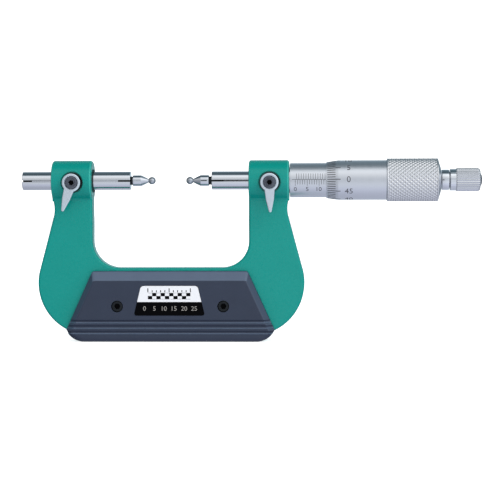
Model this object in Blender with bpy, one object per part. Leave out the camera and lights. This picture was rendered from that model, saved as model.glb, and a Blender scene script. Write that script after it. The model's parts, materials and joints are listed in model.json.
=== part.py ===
# Gear tooth micrometer with ball tips, reading 0 to 25 mm, modelled in metres.
# X runs along the spindle towards the thimble, Y from front to back, Z upwards.
# The origin is on the frame's flat bottom, midway across the throat and through the thickness.

import math

import bmesh
import bpy
from mathutils import Matrix, Vector

MM = 0.001

# Gaps between pieces that seat, turn or slide in each other
SEAT_GAP = 0.3 * MM
FINE_GAP = 0.15 * MM
BALL_GAP = 0.1 * MM

# Small edges, and how far a cutter stands proud of what it cuts
FINE_EDGE = 0.2 * MM
EDGE = 0.3 * MM
OVERSHOOT = 1.0 * MM

# Frame: a flat U with a round barrel at the top of each arm
THROAT_WIDTH = 66.5 * MM
THROAT_DEPTH = 37.0 * MM
THROAT_CORNER_RADIUS = 11.6 * MM
SPINE_HEIGHT = 31.2 * MM
ARM_WIDTH = 23.5 * MM
FRAME_THICKNESS = 8.0 * MM
FRAME_EDGE_RADIUS = 1.0 * MM
SHOULDER_RADIUS = 21.3 * MM
SHOULDER_LIFT = 2.6 * MM
BASE_END_INSET = 21.6 * MM
WAIST_INSET = 1.4 * MM
WAIST_DROP = 13.4 * MM
WAIST_RADIUS = 9.0 * MM
ARM_TOP_DROP = 6.6 * MM
BARREL_RADIUS = 8.6 * MM
BARREL_LENGTH = 17.1 * MM
BARREL_EDGE_RADIUS = 1.0 * MM
BARREL_FILLET_RADIUS = 2.0 * MM
BARREL_SHOULDER = 3.0 * MM
BARREL_SKIRT_SINK = 0.05 * MM

# Grip plates
GRIP_THICKNESS = 4.2 * MM
GRIP_TOP_MARGIN = 1.2 * MM
GRIP_TOP_INSET = 23.45 * MM
GRIP_CORNER_INSET = 12.5 * MM
GRIP_CORNER_HEIGHT = 4.2 * MM
GRIP_CORNER_RADIUS = 8.5 * MM
GRIP_TOP_CORNER_RADIUS = 1.0 * MM
GRIP_LAND = 1.7 * MM
GRIP_TOP_BEVEL = 4.3 * MM
GRIP_SIDE_BEVEL = 1.8 * MM
GRIP_BOTTOM_RADIUS = 2.4 * MM
GROOVE_RADIUS = 0.9 * MM
GROOVE_DEPTH = 0.65 * MM
GROOVE_PITCH = 2.25 * MM
GROOVE_COUNT = 3
GROOVE_LIFT = 3.15 * MM
GROOVE_END_INSET = 3.2 * MM

# Grip screws
GRIP_SCREW_SPACING = 45.0 * MM
GRIP_SCREW_HEIGHT = 15.2 * MM
GRIP_SCREW_HEAD_RADIUS = 2.35 * MM
GRIP_SCREW_HEAD_HEIGHT = 1.8 * MM
GRIP_SCREW_RADIUS = 1.2 * MM
GRIP_SCREW_REACH = 3.4 * MM
GRIP_SCREW_SINK = 0.4 * MM
GRIP_SCREW_SOCKET = 2.0 * MM
GRIP_SCREW_SOCKET_DEPTH = 1.1 * MM

# Label plate
LABEL_TOP_WIDTH = 24.0 * MM
LABEL_BOTTOM_WIDTH = 29.6 * MM
LABEL_HEIGHT = 12.5 * MM
LABEL_DROP = 2.2 * MM
LABEL_CORNER_RADIUS = 1.2 * MM
LABEL_THICKNESS = 0.5 * MM
LABEL_SINK = 0.1 * MM

# Rods and ball tips
ROD_RADIUS = 3.9 * MM
ANVIL_REACH = 26.75 * MM
ANVIL_TAIL = 12.95 * MM
SLIT_WIDTH = 0.6 * MM
SLIT_LENGTH = 5.1 * MM
TAIL_SLIT_LENGTH = 4.4 * MM
STEM_RADIUS = 1.75 * MM
STEM_LENGTH = 10.0 * MM
STEM_SHOW = 0.9 * MM
COLLAR_RADIUS = 2.45 * MM
COLLAR_LENGTH = 3.2 * MM
NECK_RADIUS = 0.8 * MM
OGIVE_BULGE = 0.3 * MM
BALL_RADIUS = 1.6 * MM
TIP_LENGTH = 10.6 * MM

# Rod clamps: a stud with a pad behind it, a lever on its hexagon and a screw in its end
ANVIL_CLAMP_OFFSET = 8.05 * MM
SPINDLE_CLAMP_OFFSET = 8.95 * MM
CLAMP_DROP = 0.6 * MM
SPOTFACE_RADIUS = 5.2 * MM
SPOTFACE_WALL = 2.75 * MM
STUD_RADIUS = 2.5 * MM
PAD_THICKNESS = 1.0 * MM
STUD_HEXAGON = 3.6 * MM
LEVER_HUB_RADIUS = 3.8 * MM
LEVER_HUB_THICKNESS = 3.7 * MM
LEVER_ARM_THICKNESS = 1.6 * MM
LEVER_REACH = 12.7 * MM
LEVER_ROOT_WIDTH = 4.2 * MM
LEVER_MIDDLE_REACH = 7.2 * MM
LEVER_MIDDLE_WIDTH = 2.8 * MM
LEVER_TIP_WIDTH = 1.2 * MM
LEVER_SOCKET_DEPTH = 1.7 * MM
LEVER_WEB = 0.6 * MM
LEVER_SCREW_HEAD_RADIUS = 2.5 * MM
LEVER_SCREW_HEAD_HEIGHT = 1.0 * MM
LEVER_SCREW_RADIUS = 1.05 * MM
LEVER_SCREW_SOCKET = 1.9 * MM
LEVER_SCREW_SOCKET_DEPTH = 0.7 * MM
STUD_FLOOR = 0.75 * MM
ANVIL_LEVER_TILT = math.radians(17.5)
SPINDLE_LEVER_TILT = math.radians(-1.5)

# Micrometer head
REST_READING = 13.0 * MM
TRAVEL = 25.0 * MM
SLEEVE_RADIUS = 7.3 * MM
SLEEVE_WALL = 1.5 * MM
SCALE_ZERO_OFFSET = 2.65 * MM
SLEEVE_OVERHANG = 3.5 * MM
SPANNER_HOLE_RADIUS = 0.75 * MM
GUIDE_RADIUS = 5.5 * MM
GUIDE_OVERHANG = 6.5 * MM
NUT_LENGTH = 12.0 * MM
NUT_SLITS = 3
NUT_SLIT_WIDTH = 0.5 * MM
NUT_SLIT_START = 1.0 * MM
NUT_TAPER_LENGTH = 6.5 * MM
NUT_TAPER = 0.4 * MM
ADJUSTER_RADIUS = 6.7 * MM
ADJUSTER_LENGTH = 5.4 * MM
ADJUSTER_NOTCH = 1.2 * MM
THREAD_RADIUS = 3.5 * MM
THREAD_RUNOUT = 1.0 * MM
SEAT_TAPER_LENGTH = 8.0 * MM
SEAT_TAPER_START = 3.3 * MM
SEAT_TAPER_END = 2.6 * MM

# Thimble
THIMBLE_RADIUS = 8.4 * MM
THIMBLE_EDGE_WALL = 0.2 * MM
THIMBLE_BEVEL_LENGTH = 5.0 * MM
THIMBLE_HUB_LENGTH = 12.4 * MM
THIMBLE_FLOOR_CHAMFER = 1.2 * MM
KNURL_RADIUS = 9.1 * MM
KNURL_LENGTH = 21.4 * MM
THIMBLE_CONE_LENGTH = 1.3 * MM
THIMBLE_END_RADIUS = 4.9 * MM

# Ratchet stop
ARBOR_NECK_RADIUS = 4.35 * MM
ARBOR_NECK_LENGTH = 3.7 * MM
ARBOR_SHANK_RADIUS = 1.5 * MM
ARBOR_SHANK_LENGTH = 10.0 * MM
ARBOR_JOURNAL_RADIUS = 3.1 * MM
ARBOR_JOURNAL_LENGTH = 2.6 * MM
ARBOR_PIN_RADIUS = 1.7 * MM
CLICK_TEETH = 24
CLICK_TOOTH_HEIGHT = 0.5 * MM
CLICK_RING_LENGTH = 1.5 * MM
CLICK_LUG_HEIGHT = 0.6 * MM
CLICK_LUG_WIDTH = 1.2 * MM
SPRING_LENGTH = 3.6 * MM
SPRING_RADIUS = 2.5 * MM
SPRING_WIRE_RADIUS = 0.22 * MM
SPRING_TURNS = 4
KNOB_COLLAR_RADIUS = 4.6 * MM
KNOB_COLLAR_LENGTH = 2.8 * MM
KNOB_RADIUS = 4.95 * MM
KNOB_FLUTES = 24
KNOB_FLUTE_DEPTH = 0.25 * MM
KNOB_CHAMFER = 0.8 * MM
KNOB_CHAMFER_DROP = 0.55 * MM
KNOB_WALL = 2.4 * MM
KNOB_RECESS = 2.5 * MM
END_SCREW_HEAD_RADIUS = 2.6 * MM
END_SCREW_HEAD_HEIGHT = 1.5 * MM
END_SCREW_RADIUS = 0.8 * MM
END_SCREW_LENGTH = 4.5 * MM
END_SCREW_SLOT = 0.6 * MM
END_SCREW_SLOT_DEPTH = 0.7 * MM

# How finely round shapes are divided
FINE_ROUND = 40
ROUND = 28
SMALL_ROUND = 18
CORNER_STEPS = 3
OGIVE_STEPS = 5
BALL_STEPS = 10
SPRING_STEPS = 12
SHARP_ANGLE = math.radians(32)

# Places that follow from the sizes above
THROAT_HALF = THROAT_WIDTH / 2
AXIS_HEIGHT = SPINE_HEIGHT + THROAT_DEPTH
BARREL_END = THROAT_HALF + BARREL_LENGTH
FRAME_HALF = THROAT_HALF + ARM_WIDTH
FRAME_FACE = FRAME_THICKNESS / 2
ROD_BORE = ROD_RADIUS + SEAT_GAP
GUIDE_BORE = GUIDE_RADIUS + SEAT_GAP
SPOTFACE = ROD_BORE + SPOTFACE_WALL
ANVIL_CLAMP_X = -THROAT_HALF - ANVIL_CLAMP_OFFSET
SPINDLE_CLAMP_X = THROAT_HALF + SPINDLE_CLAMP_OFFSET
CLAMP_HEIGHT = AXIS_HEIGHT - CLAMP_DROP
STUD_HOLE = STUD_RADIUS + SEAT_GAP

GRIP_TOP = SPINE_HEIGHT - GRIP_TOP_MARGIN
GRIP_BACK = FRAME_FACE + SEAT_GAP
GRIP_FACE = GRIP_BACK + GRIP_THICKNESS
GRIP_SCREW_SEAT = GRIP_FACE - GRIP_SCREW_SINK - GRIP_SCREW_HEAD_HEIGHT

ANVIL_BALL_FACE = ANVIL_REACH - THROAT_HALF
SPINDLE_BALL_FACE = ANVIL_BALL_FACE + REST_READING
ANVIL_FACE = ANVIL_BALL_FACE - TIP_LENGTH
SPINDLE_FACE = SPINDLE_BALL_FACE + TIP_LENGTH

SCALE_ZERO = BARREL_END + SCALE_ZERO_OFFSET
THIMBLE_EDGE = SCALE_ZERO + REST_READING
SLEEVE_START = BARREL_END + SEAT_GAP
SLEEVE_END = SCALE_ZERO + TRAVEL + SLEEVE_OVERHANG
GUIDE_START = THROAT_HALF + BARREL_SHOULDER + SEAT_GAP
GUIDE_END = SLEEVE_END + GUIDE_OVERHANG
NUT_START = GUIDE_END - NUT_LENGTH
THREAD_START = NUT_START - (TRAVEL - REST_READING)
THREAD_END = GUIDE_END + REST_READING
HUB_START = THREAD_END + THREAD_RUNOUT
SPINDLE_END = HUB_START + SEAT_TAPER_LENGTH
THIMBLE_END = HUB_START + THIMBLE_HUB_LENGTH
THIMBLE_BORE = SLEEVE_RADIUS + FINE_GAP

NECK_START = THIMBLE_END + SEAT_GAP
NECK_END = NECK_START + ARBOR_NECK_LENGTH
TOOTH_ROOT = NECK_END + ARBOR_JOURNAL_LENGTH
KNOB_START = NECK_END + SEAT_GAP
KNOB_BORE = ARBOR_JOURNAL_RADIUS + SEAT_GAP
CLICK_END = TOOTH_ROOT + CLICK_TOOTH_HEIGHT + CLICK_RING_LENGTH
SPRING_START = CLICK_END + SEAT_GAP
KNOB_FLOOR = SPRING_START + SPRING_LENGTH + SEAT_GAP
KNOB_SEAT = KNOB_FLOOR + KNOB_WALL
KNOB_END = KNOB_SEAT + KNOB_RECESS
PIN_END = KNOB_SEAT + FINE_GAP


# Shape helpers. Each returns an object at the world's origin, closed and facing outwards.

def solid(bm):
    bmesh.ops.remove_doubles(bm, verts=bm.verts, dist=1e-7)
    bmesh.ops.recalc_face_normals(bm, faces=bm.faces)
    mesh = bpy.data.meshes.new("shape")
    bm.to_mesh(mesh)
    bm.free()
    shape = bpy.data.objects.new("shape", mesh)
    bpy.context.scene.collection.objects.link(shape)
    return shape


def combined(shape, tool, operation):
    # Replaces the shape's mesh with the result of the Boolean and deletes the tool.
    modifier = shape.modifiers.new(operation, "BOOLEAN")
    modifier.operation = operation
    modifier.object = tool
    bpy.context.view_layer.update()
    graph = bpy.context.evaluated_depsgraph_get()
    mesh = bpy.data.meshes.new_from_object(shape.evaluated_get(graph))
    shape.modifiers.clear()
    shape.data = mesh
    bpy.data.objects.remove(tool)

    # Faces of more than four sides are split, so that the next Boolean meets no bent face.
    bm = bmesh.new()
    bm.from_mesh(mesh)
    bmesh.ops.triangulate(bm, faces=[face for face in bm.faces if len(face.verts) > 4])
    bm.to_mesh(mesh)
    bm.free()
    return shape


def joined(shape, *tools):
    for tool in tools:
        combined(shape, tool, "UNION")
    return shape


def cut(shape, *tools):
    for tool in tools:
        combined(shape, tool, "DIFFERENCE")
    return shape


def moved(shape, offset=(0, 0, 0), turn=0.0, axis="Z"):
    matrix = Matrix.Translation(offset) @ Matrix.Rotation(turn, 4, axis)
    shape.data.transform(matrix)
    return shape


def turned(profile, segments=ROUND, closed=False):
    # Spins a profile of (x, radius) points round the X axis.
    bm = bmesh.new()
    points = [bm.verts.new((x, 0, radius)) for x, radius in profile]
    edges = [bm.edges.new(pair) for pair in zip(points, points[1:])]
    if closed:
        edges.append(bm.edges.new((points[-1], points[0])))
    bmesh.ops.spin(
        bm, geom=points + edges, cent=(0, 0, 0), axis=(1, 0, 0),
        angle=math.tau, steps=segments, use_merge=True)
    return solid(bm)


def skinned(bm, rings):
    # Joins each ring of points to the next, point by point.
    for first, second in zip(rings, rings[1:]):
        for step, corner in enumerate(first):
            after = (step + 1) % len(first)
            bm.faces.new([corner, first[after], second[after], second[step]])


def rod(start, end, radius, segments=ROUND):
    return turned([(start, 0), (start, radius), (end, radius), (end, 0)], segments)


def cross_rod(start, end, radius, x=0.0, z=0.0, segments=SMALL_ROUND):
    # A cylinder along Y, from start to end.
    shape = rod(start, end, radius, segments)
    return moved(moved(shape, turn=math.radians(90)), (x, 0, z))


def extruded(outline, front, back, edge=0.0, steps=1):
    # Extrudes an outline of (x, z) points along Y and rounds its front and back edges.
    bm = bmesh.new()
    face = bm.faces.new([bm.verts.new((x, front, z)) for x, z in outline])
    result = bmesh.ops.extrude_face_region(bm, geom=[face])
    moving = [item for item in result["geom"] if isinstance(item, bmesh.types.BMVert)]
    bmesh.ops.translate(bm, verts=moving, vec=(0, back - front, 0))
    if edge > 0:
        rims = [
            line for line in bm.edges
            if abs(line.verts[0].co.y - line.verts[1].co.y) < abs(back - front) / 2]
        bmesh.ops.bevel(
            bm, geom=rims, offset=edge, offset_type="OFFSET", segments=steps,
            profile=0.5, affect="EDGES")
    return solid(bm)


def box(low, high):
    bm = bmesh.new()
    bmesh.ops.create_cube(bm, size=1)
    size = Vector(high) - Vector(low)
    bmesh.ops.scale(bm, vec=size, verts=bm.verts)
    bmesh.ops.translate(bm, vec=(Vector(low) + Vector(high)) / 2, verts=bm.verts)
    return solid(bm)


def arc(centre, radius, start, end, steps):
    angles = [start + (end - start) * step / steps for step in range(steps + 1)]
    return [(centre[0] + radius * math.cos(a), centre[1] + radius * math.sin(a)) for a in angles]


def rounded_corner(before, corner, after, radius, steps=CORNER_STEPS):
    # The arc that rounds a corner of an outline with straight sides.
    before, corner, after = Vector(before), Vector(corner), Vector(after)
    first = (before - corner).normalized()
    second = (after - corner).normalized()
    half = first.angle(second) / 2
    middle = corner + (first + second).normalized() * radius / math.sin(half)
    start = corner + first * radius / math.tan(half) - middle
    sweep = start.angle_signed(corner + second * radius / math.tan(half) - middle)
    begin = math.atan2(start.y, start.x)
    return arc(middle, radius, begin, begin - sweep, steps)


def hexagon(width):
    radius = width / math.sqrt(3)
    return arc((0, 0), radius, 0, math.tau * 5 / 6, 5)


def touch_angle(point, centre, radius, side):
    # Where a line from a point outside a circle touches the circle.
    offset = Vector(point) - Vector(centre)
    return math.atan2(offset.y, offset.x) + side * math.acos(radius / offset.length)


def material(name, colour, metallic, roughness):
    # The colour is given as it looks on a screen, from 0 to 255.
    made = bpy.data.materials.new(name)
    made.use_nodes = True
    shader = made.node_tree.nodes["Principled BSDF"]
    linear = [(channel / 255) ** 2.2 for channel in colour]
    shader.inputs["Base Color"].default_value = (*linear, 1)
    shader.inputs["Metallic"].default_value = metallic
    shader.inputs["Roughness"].default_value = roughness
    made.diffuse_color = (*linear, 1)
    return made


def carrier(name, location, parent=None):
    # An empty on a joint's axis. What moves at that joint is its child.
    empty = bpy.data.objects.new(name, None)
    bpy.context.scene.collection.objects.link(empty)
    empty.parent = parent
    empty.location = location
    empty.empty_display_size = 5 * MM
    return empty


def placed(name, shape, finish, parent, location=(0, 0, 0), turn=0.0, axis=1):
    # Names the shape, shades it and puts it on its carrier, turned about one axis.
    mesh = shape.data
    mesh.name = name
    if not mesh.materials:
        mesh.materials.append(finish)
    mesh.shade_smooth()
    mesh.set_sharp_from_angle(angle=SHARP_ANGLE)
    shape.name = name
    shape.parent = parent
    shape.location = location
    shape.rotation_euler[axis] = turn
    return shape


def twin(shape):
    # A second object of the same mesh.
    copy = bpy.data.objects.new("shape", shape.data)
    bpy.context.scene.collection.objects.link(copy)
    return copy


# Frame

def frame_outline():
    middle = (FRAME_HALF - SHOULDER_RADIUS, SHOULDER_RADIUS + SHOULDER_LIFT)
    base_end = (FRAME_HALF - BASE_END_INSET, 0)
    waist = (BARREL_END - WAIST_INSET, AXIS_HEIGHT - WAIST_DROP)
    base_angle = touch_angle(base_end, middle, SHOULDER_RADIUS, 1)
    flank_angle = touch_angle(waist, middle, SHOULDER_RADIUS, -1)
    shoulder = arc(middle, SHOULDER_RADIUS, base_angle, flank_angle, 12)

    # The hollow at the waist touches the flank and ends at the barrel's outer edge.
    outward = Vector((math.cos(flank_angle), math.sin(flank_angle)))
    upward = Vector((-outward.y, outward.x))
    barrel_bottom = AXIS_HEIGHT - BARREL_RADIUS
    lip = Vector((BARREL_END - BARREL_EDGE_RADIUS / 8, barrel_bottom + BARREL_EDGE_RADIUS))
    offset = Vector(shoulder[-1]) + outward * WAIST_RADIUS - lip
    rise = -offset.dot(upward) - math.sqrt(WAIST_RADIUS ** 2 - offset.dot(outward) ** 2)
    hollow = Vector(shoulder[-1]) + upward * rise + outward * WAIST_RADIUS
    lip_angle = math.atan2(lip.y - hollow.y, lip.x - hollow.x)
    waist_arc = arc(hollow, WAIST_RADIUS, math.pi + flank_angle, lip_angle, 5)

    inside = AXIS_HEIGHT - ARM_TOP_DROP
    throat_corner = (THROAT_HALF - THROAT_CORNER_RADIUS, SPINE_HEIGHT + THROAT_CORNER_RADIUS)
    throat = arc(throat_corner, THROAT_CORNER_RADIUS, 0, -math.pi / 2, 7)
    right = [base_end, *shoulder, *waist_arc]
    right += [(BARREL_END - BARREL_LENGTH / 3, inside), (THROAT_HALF, inside), *throat]
    return right + [(-x, z) for x, z in reversed(right)]


def barrel(start, end):
    # A round section that runs down into the arm over two fillets, extruded along X.
    flat = FRAME_FACE - BARREL_SKIRT_SINK
    reach = flat + BARREL_FILLET_RADIUS
    drop = -math.sqrt((BARREL_RADIUS + BARREL_FILLET_RADIUS) ** 2 - reach ** 2)
    contact = math.atan2(drop, reach)
    crown = arc((0, 0), BARREL_RADIUS, contact, math.pi - contact, 24)
    left = arc((-reach, drop), BARREL_FILLET_RADIUS, -contact, 0, CORNER_STEPS)
    right = [(-y, z) for y, z in reversed(left)]
    outline = crown[:-1] + left + right[:-1]
    shape = extruded(outline, start, end, BARREL_EDGE_RADIUS, 2)
    return moved(moved(shape, turn=math.radians(-90)), (0, 0, AXIS_HEIGHT))


def make_frame(finish):
    shape = extruded(frame_outline(), -FRAME_FACE, FRAME_FACE, FRAME_EDGE_RADIUS, 2)
    joined(shape, barrel(THROAT_HALF, BARREL_END), barrel(-BARREL_END, -THROAT_HALF))
    rod_bore = rod(-BARREL_END - OVERSHOOT, BARREL_END + OVERSHOOT, ROD_BORE)
    guide_bore = rod(THROAT_HALF + BARREL_SHOULDER, BARREL_END + OVERSHOOT, GUIDE_BORE)
    for tool in (rod_bore, guide_bore):
        cut(shape, moved(tool, (0, 0, AXIS_HEIGHT)))
    for x in (ANVIL_CLAMP_X, SPINDLE_CLAMP_X):
        front = -BARREL_RADIUS - OVERSHOOT
        cut(shape, cross_rod(front, -SPOTFACE, SPOTFACE_RADIUS, x, CLAMP_HEIGHT, ROUND))
        cut(shape, cross_rod(-BARREL_RADIUS, -ROD_RADIUS / 2, STUD_HOLE, x, CLAMP_HEIGHT))
    for x in (-GRIP_SCREW_SPACING / 2, GRIP_SCREW_SPACING / 2):
        hole = GRIP_SCREW_RADIUS + SEAT_GAP
        cut(shape, cross_rod(-FRAME_THICKNESS, FRAME_THICKNESS, hole, x, GRIP_SCREW_HEIGHT))
    return placed("frame", shape, finish, None)


# Grip plates, with their screws and the label

def grip_outline(top_inset, side_inset, bottom_inset):
    top = GRIP_TOP - top_inset
    top_half = FRAME_HALF - GRIP_TOP_INSET
    corner_half = FRAME_HALF - GRIP_CORNER_INSET
    side = Vector((corner_half - top_half, GRIP_CORNER_HEIGHT - GRIP_TOP)).normalized()
    outward = Vector((-side.y, side.x))
    rise = GRIP_CORNER_RADIUS - GRIP_CORNER_HEIGHT
    middle = Vector((corner_half - math.sqrt(GRIP_CORNER_RADIUS ** 2 - rise ** 2), GRIP_CORNER_RADIUS))
    distance = outward.dot(Vector((corner_half, GRIP_CORNER_HEIGHT)) - middle) - side_inset
    radius = GRIP_CORNER_RADIUS - bottom_inset
    corner_angle = math.atan2(outward.y, outward.x) - math.acos(distance / radius)
    corner = arc(middle, radius, -math.pi / 2, corner_angle, 7)
    slope = side.x / side.y
    side_top = (corner[-1][0] + (top - corner[-1][1]) * slope, top)
    shoulder = rounded_corner(corner[-1], side_top, (0, top), GRIP_TOP_CORNER_RADIUS)
    right = corner + shoulder
    return right + [(-x, z) for x, z in reversed(right)]


def grip_rows():
    # (depth, top inset, side inset, bottom inset) of each outline, from the frame to the face
    rows = [(0, 0, 0, 0)]
    depths = [(GRIP_LAND, 0)]
    for step in range(CORNER_STEPS + 1):
        angle = math.pi / 2 * step / CORNER_STEPS
        depth = GRIP_THICKNESS - GRIP_BOTTOM_RADIUS * (1 - math.sin(angle))
        depths.append((depth, GRIP_BOTTOM_RADIUS * (1 - math.cos(angle))))
    for depth, bottom in depths:
        share = (depth - GRIP_LAND) / (GRIP_THICKNESS - GRIP_LAND)
        rows.append((depth, share * GRIP_TOP_BEVEL, share * GRIP_SIDE_BEVEL, bottom))
    return rows


def grip_blank():
    bm = bmesh.new()
    rings = [
        [bm.verts.new((x, -depth, z)) for x, z in grip_outline(top, side, bottom)]
        for depth, top, side, bottom in grip_rows()]
    skinned(bm, rings)
    bm.faces.new(rings[0])
    bm.faces.new(rings[-1])
    shape = solid(bm)
    return moved(shape, (0, -GRIP_BACK, 0))


def groove(height):
    # A round-ended groove along the plate.
    half = FRAME_HALF - GRIP_CORNER_INSET - GROOVE_END_INSET
    end = arc((half - GROOVE_RADIUS, 0), GROOVE_RADIUS, math.pi / 2, 0, CORNER_STEPS)
    profile = [(-x, radius) for x, radius in reversed(end)] + end
    profile[0] = (profile[0][0], 0)
    profile[-1] = (profile[-1][0], 0)
    shape = turned(profile, SMALL_ROUND)
    return moved(shape, (0, -GRIP_FACE + GROOVE_DEPTH - GROOVE_RADIUS, height))


def label_outline(margin):
    top = GRIP_TOP - GRIP_TOP_BEVEL - LABEL_DROP
    bottom = top - LABEL_HEIGHT
    lower = (LABEL_BOTTOM_WIDTH / 2 + margin, bottom - margin)
    upper = (LABEL_TOP_WIDTH / 2 + margin, top + margin)
    right = rounded_corner((0, lower[1]), lower, upper, LABEL_CORNER_RADIUS)
    right += rounded_corner(lower, upper, (0, upper[1]), LABEL_CORNER_RADIUS)
    return right + [(-x, z) for x, z in reversed(right)]


def make_grip_plates(finish):
    shape = grip_blank()
    for count in range(GROOVE_COUNT):
        cut(shape, groove(GROOVE_LIFT + count * GROOVE_PITCH))
    for x in (-GRIP_SCREW_SPACING / 2, GRIP_SCREW_SPACING / 2):
        seat = GRIP_SCREW_SEAT - SEAT_GAP
        head = GRIP_SCREW_HEAD_RADIUS + FINE_GAP
        hole = GRIP_SCREW_RADIUS + SEAT_GAP
        cut(shape, cross_rod(-GRIP_FACE - OVERSHOOT, -seat, head, x, GRIP_SCREW_HEIGHT))
        cut(shape, cross_rod(-GRIP_FACE, -GRIP_BACK + OVERSHOOT, hole, x, GRIP_SCREW_HEIGHT))
    rear = bpy.data.objects.new("shape", shape.data.copy())
    bpy.context.scene.collection.objects.link(rear)
    recess = LABEL_SINK + LABEL_THICKNESS + FINE_GAP
    cut(shape, extruded(label_outline(FINE_GAP), -GRIP_FACE - OVERSHOOT, -GRIP_FACE + recess))
    placed("front_grip_plate", shape, finish, None)
    placed("rear_grip_plate", moved(rear, turn=math.pi), finish, None)


def make_grip_screws(finish):
    # The front and rear screws meet tail to tail in one threaded hole through the frame.
    seat = GRIP_SCREW_SEAT
    front = seat + GRIP_SCREW_HEAD_HEIGHT
    tail = FRAME_FACE - GRIP_SCREW_REACH
    edge = FINE_EDGE
    profile = [
        (-front, 0), (-front, GRIP_SCREW_HEAD_RADIUS - edge), (-front + edge, GRIP_SCREW_HEAD_RADIUS),
        (-seat, GRIP_SCREW_HEAD_RADIUS), (-seat, GRIP_SCREW_RADIUS),
        (-tail - edge, GRIP_SCREW_RADIUS), (-tail, GRIP_SCREW_RADIUS - edge), (-tail, 0)]
    shape = moved(turned(profile, SMALL_ROUND), turn=math.radians(90))
    socket_floor = -front + GRIP_SCREW_SOCKET_DEPTH
    cut(shape, extruded(hexagon(GRIP_SCREW_SOCKET), -front - OVERSHOOT, socket_floor))
    half = GRIP_SCREW_SPACING / 2
    for side, turn in (("front", 0), ("rear", math.pi)):
        for hand, x in (("left", -half), ("right", half)):
            place = (x, 0, GRIP_SCREW_HEIGHT)
            placed(f"{side}_screw_{hand}", twin(shape), finish, None, place, turn, 2)
    bpy.data.objects.remove(shape)


def make_label(finish):
    back = -GRIP_FACE + LABEL_SINK + LABEL_THICKNESS
    shape = extruded(label_outline(0), -GRIP_FACE + LABEL_SINK, back)
    placed("label_plate", shape, finish, None)


# Ball tips and the anvil rod

def tip_holder_shape():
    # The stem, the collar and the ogive that narrows to the neck, with a cup for the ball.
    ball_middle = TIP_LENGTH - BALL_RADIUS
    cup = BALL_RADIUS + BALL_GAP
    cup_angle = math.asin(NECK_RADIUS / cup)
    collar_end = STEM_SHOW + COLLAR_LENGTH
    neck_end = ball_middle - cup * math.cos(cup_angle)
    edge = FINE_EDGE
    profile = [
        (-STEM_LENGTH, 0), (-STEM_LENGTH, STEM_RADIUS - edge), (-STEM_LENGTH + edge, STEM_RADIUS),
        (STEM_SHOW, STEM_RADIUS), (STEM_SHOW, COLLAR_RADIUS - edge), (STEM_SHOW + edge, COLLAR_RADIUS)]
    for step in range(OGIVE_STEPS + 1):
        share = step / OGIVE_STEPS
        radius = COLLAR_RADIUS + (NECK_RADIUS - COLLAR_RADIUS) * share
        radius += OGIVE_BULGE * math.sin(math.pi * share)
        profile.append((collar_end + (neck_end - collar_end) * share, radius))
    for step in (1, 2):
        angle = cup_angle * (1 - step / 2)
        profile.append((ball_middle - cup * math.cos(angle), cup * math.sin(angle)))
    return turned(profile, SMALL_ROUND)


def ball_shape():
    # The first and last points of the half circle lie on the axis.
    half_turn = arc((TIP_LENGTH - BALL_RADIUS, 0), BALL_RADIUS, math.pi, 0, BALL_STEPS)
    profile = [(half_turn[0][0], 0), *half_turn[1:-1], (half_turn[-1][0], 0)]
    return turned(profile, SMALL_ROUND)


def split_end(shape, face, length):
    # Saws a level slit into the end of a rod. A positive length runs towards +X.
    low, high = sorted((face - math.copysign(OVERSHOOT, length), face + length))
    half = SLIT_WIDTH / 2
    return cut(shape, box((low, -2 * ROD_RADIUS, -half), (high, 2 * ROD_RADIUS, half)))


def make_anvil(steel, ball_finish, parent):
    tail = -BARREL_END - ANVIL_TAIL
    bore = STEM_RADIUS + FINE_GAP
    bottom = ANVIL_FACE - STEM_LENGTH - SEAT_GAP
    shape = turned([
        (tail, 0), (tail, ROD_RADIUS - EDGE), (tail + EDGE, ROD_RADIUS),
        (ANVIL_FACE - EDGE, ROD_RADIUS), (ANVIL_FACE, ROD_RADIUS - EDGE),
        (ANVIL_FACE, bore), (bottom, bore), (bottom, 0)])
    split_end(shape, ANVIL_FACE, -SLIT_LENGTH)
    split_end(shape, tail, TAIL_SLIT_LENGTH)
    placed("anvil_rod", shape, steel, parent)
    holder = tip_holder_shape()
    ball = ball_shape()
    placed("anvil_tip_holder", twin(holder), steel, parent, (ANVIL_FACE, 0, 0))
    placed("anvil_ball", twin(ball), ball_finish, parent, (ANVIL_FACE, 0, 0))
    return holder, ball


# Rod clamps

def lever_shape():
    # A round hub with a tapering arm that hangs down from it, on a hexagon socket.
    back = -SPOTFACE - SEAT_GAP
    front = back - LEVER_HUB_THICKNESS
    edge = FINE_EDGE
    hub = turned([
        (front, 0), (front, LEVER_HUB_RADIUS - edge), (front + edge, LEVER_HUB_RADIUS),
        (back - edge, LEVER_HUB_RADIUS), (back, LEVER_HUB_RADIUS - edge), (back, 0)])
    moved(hub, turn=math.radians(90))
    tip = LEVER_TIP_WIDTH / 2
    tip_middle = (0, -LEVER_REACH + tip)
    right = [(LEVER_ROOT_WIDTH / 2, 0), (LEVER_MIDDLE_WIDTH / 2, -LEVER_MIDDLE_REACH)]
    round_tip = arc(tip_middle, tip, 0, -math.pi, 2 * CORNER_STEPS)
    left = [(-x, z) for x, z in reversed(right)]
    arm = extruded([*reversed(left), *reversed(round_tip), *reversed(right)], front,
                   front + LEVER_ARM_THICKNESS, edge)
    joined(hub, arm)
    socket_floor = back - LEVER_SOCKET_DEPTH
    cut(hub, extruded(hexagon(STUD_HEXAGON + 2 * SEAT_GAP), socket_floor, back + OVERSHOOT))
    recess_floor = socket_floor - LEVER_WEB
    cut(hub, cross_rod(front - OVERSHOOT, recess_floor, LEVER_SCREW_HEAD_RADIUS + FINE_GAP))
    cut(hub, cross_rod(front, back, LEVER_SCREW_RADIUS + SEAT_GAP))
    return hub


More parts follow.
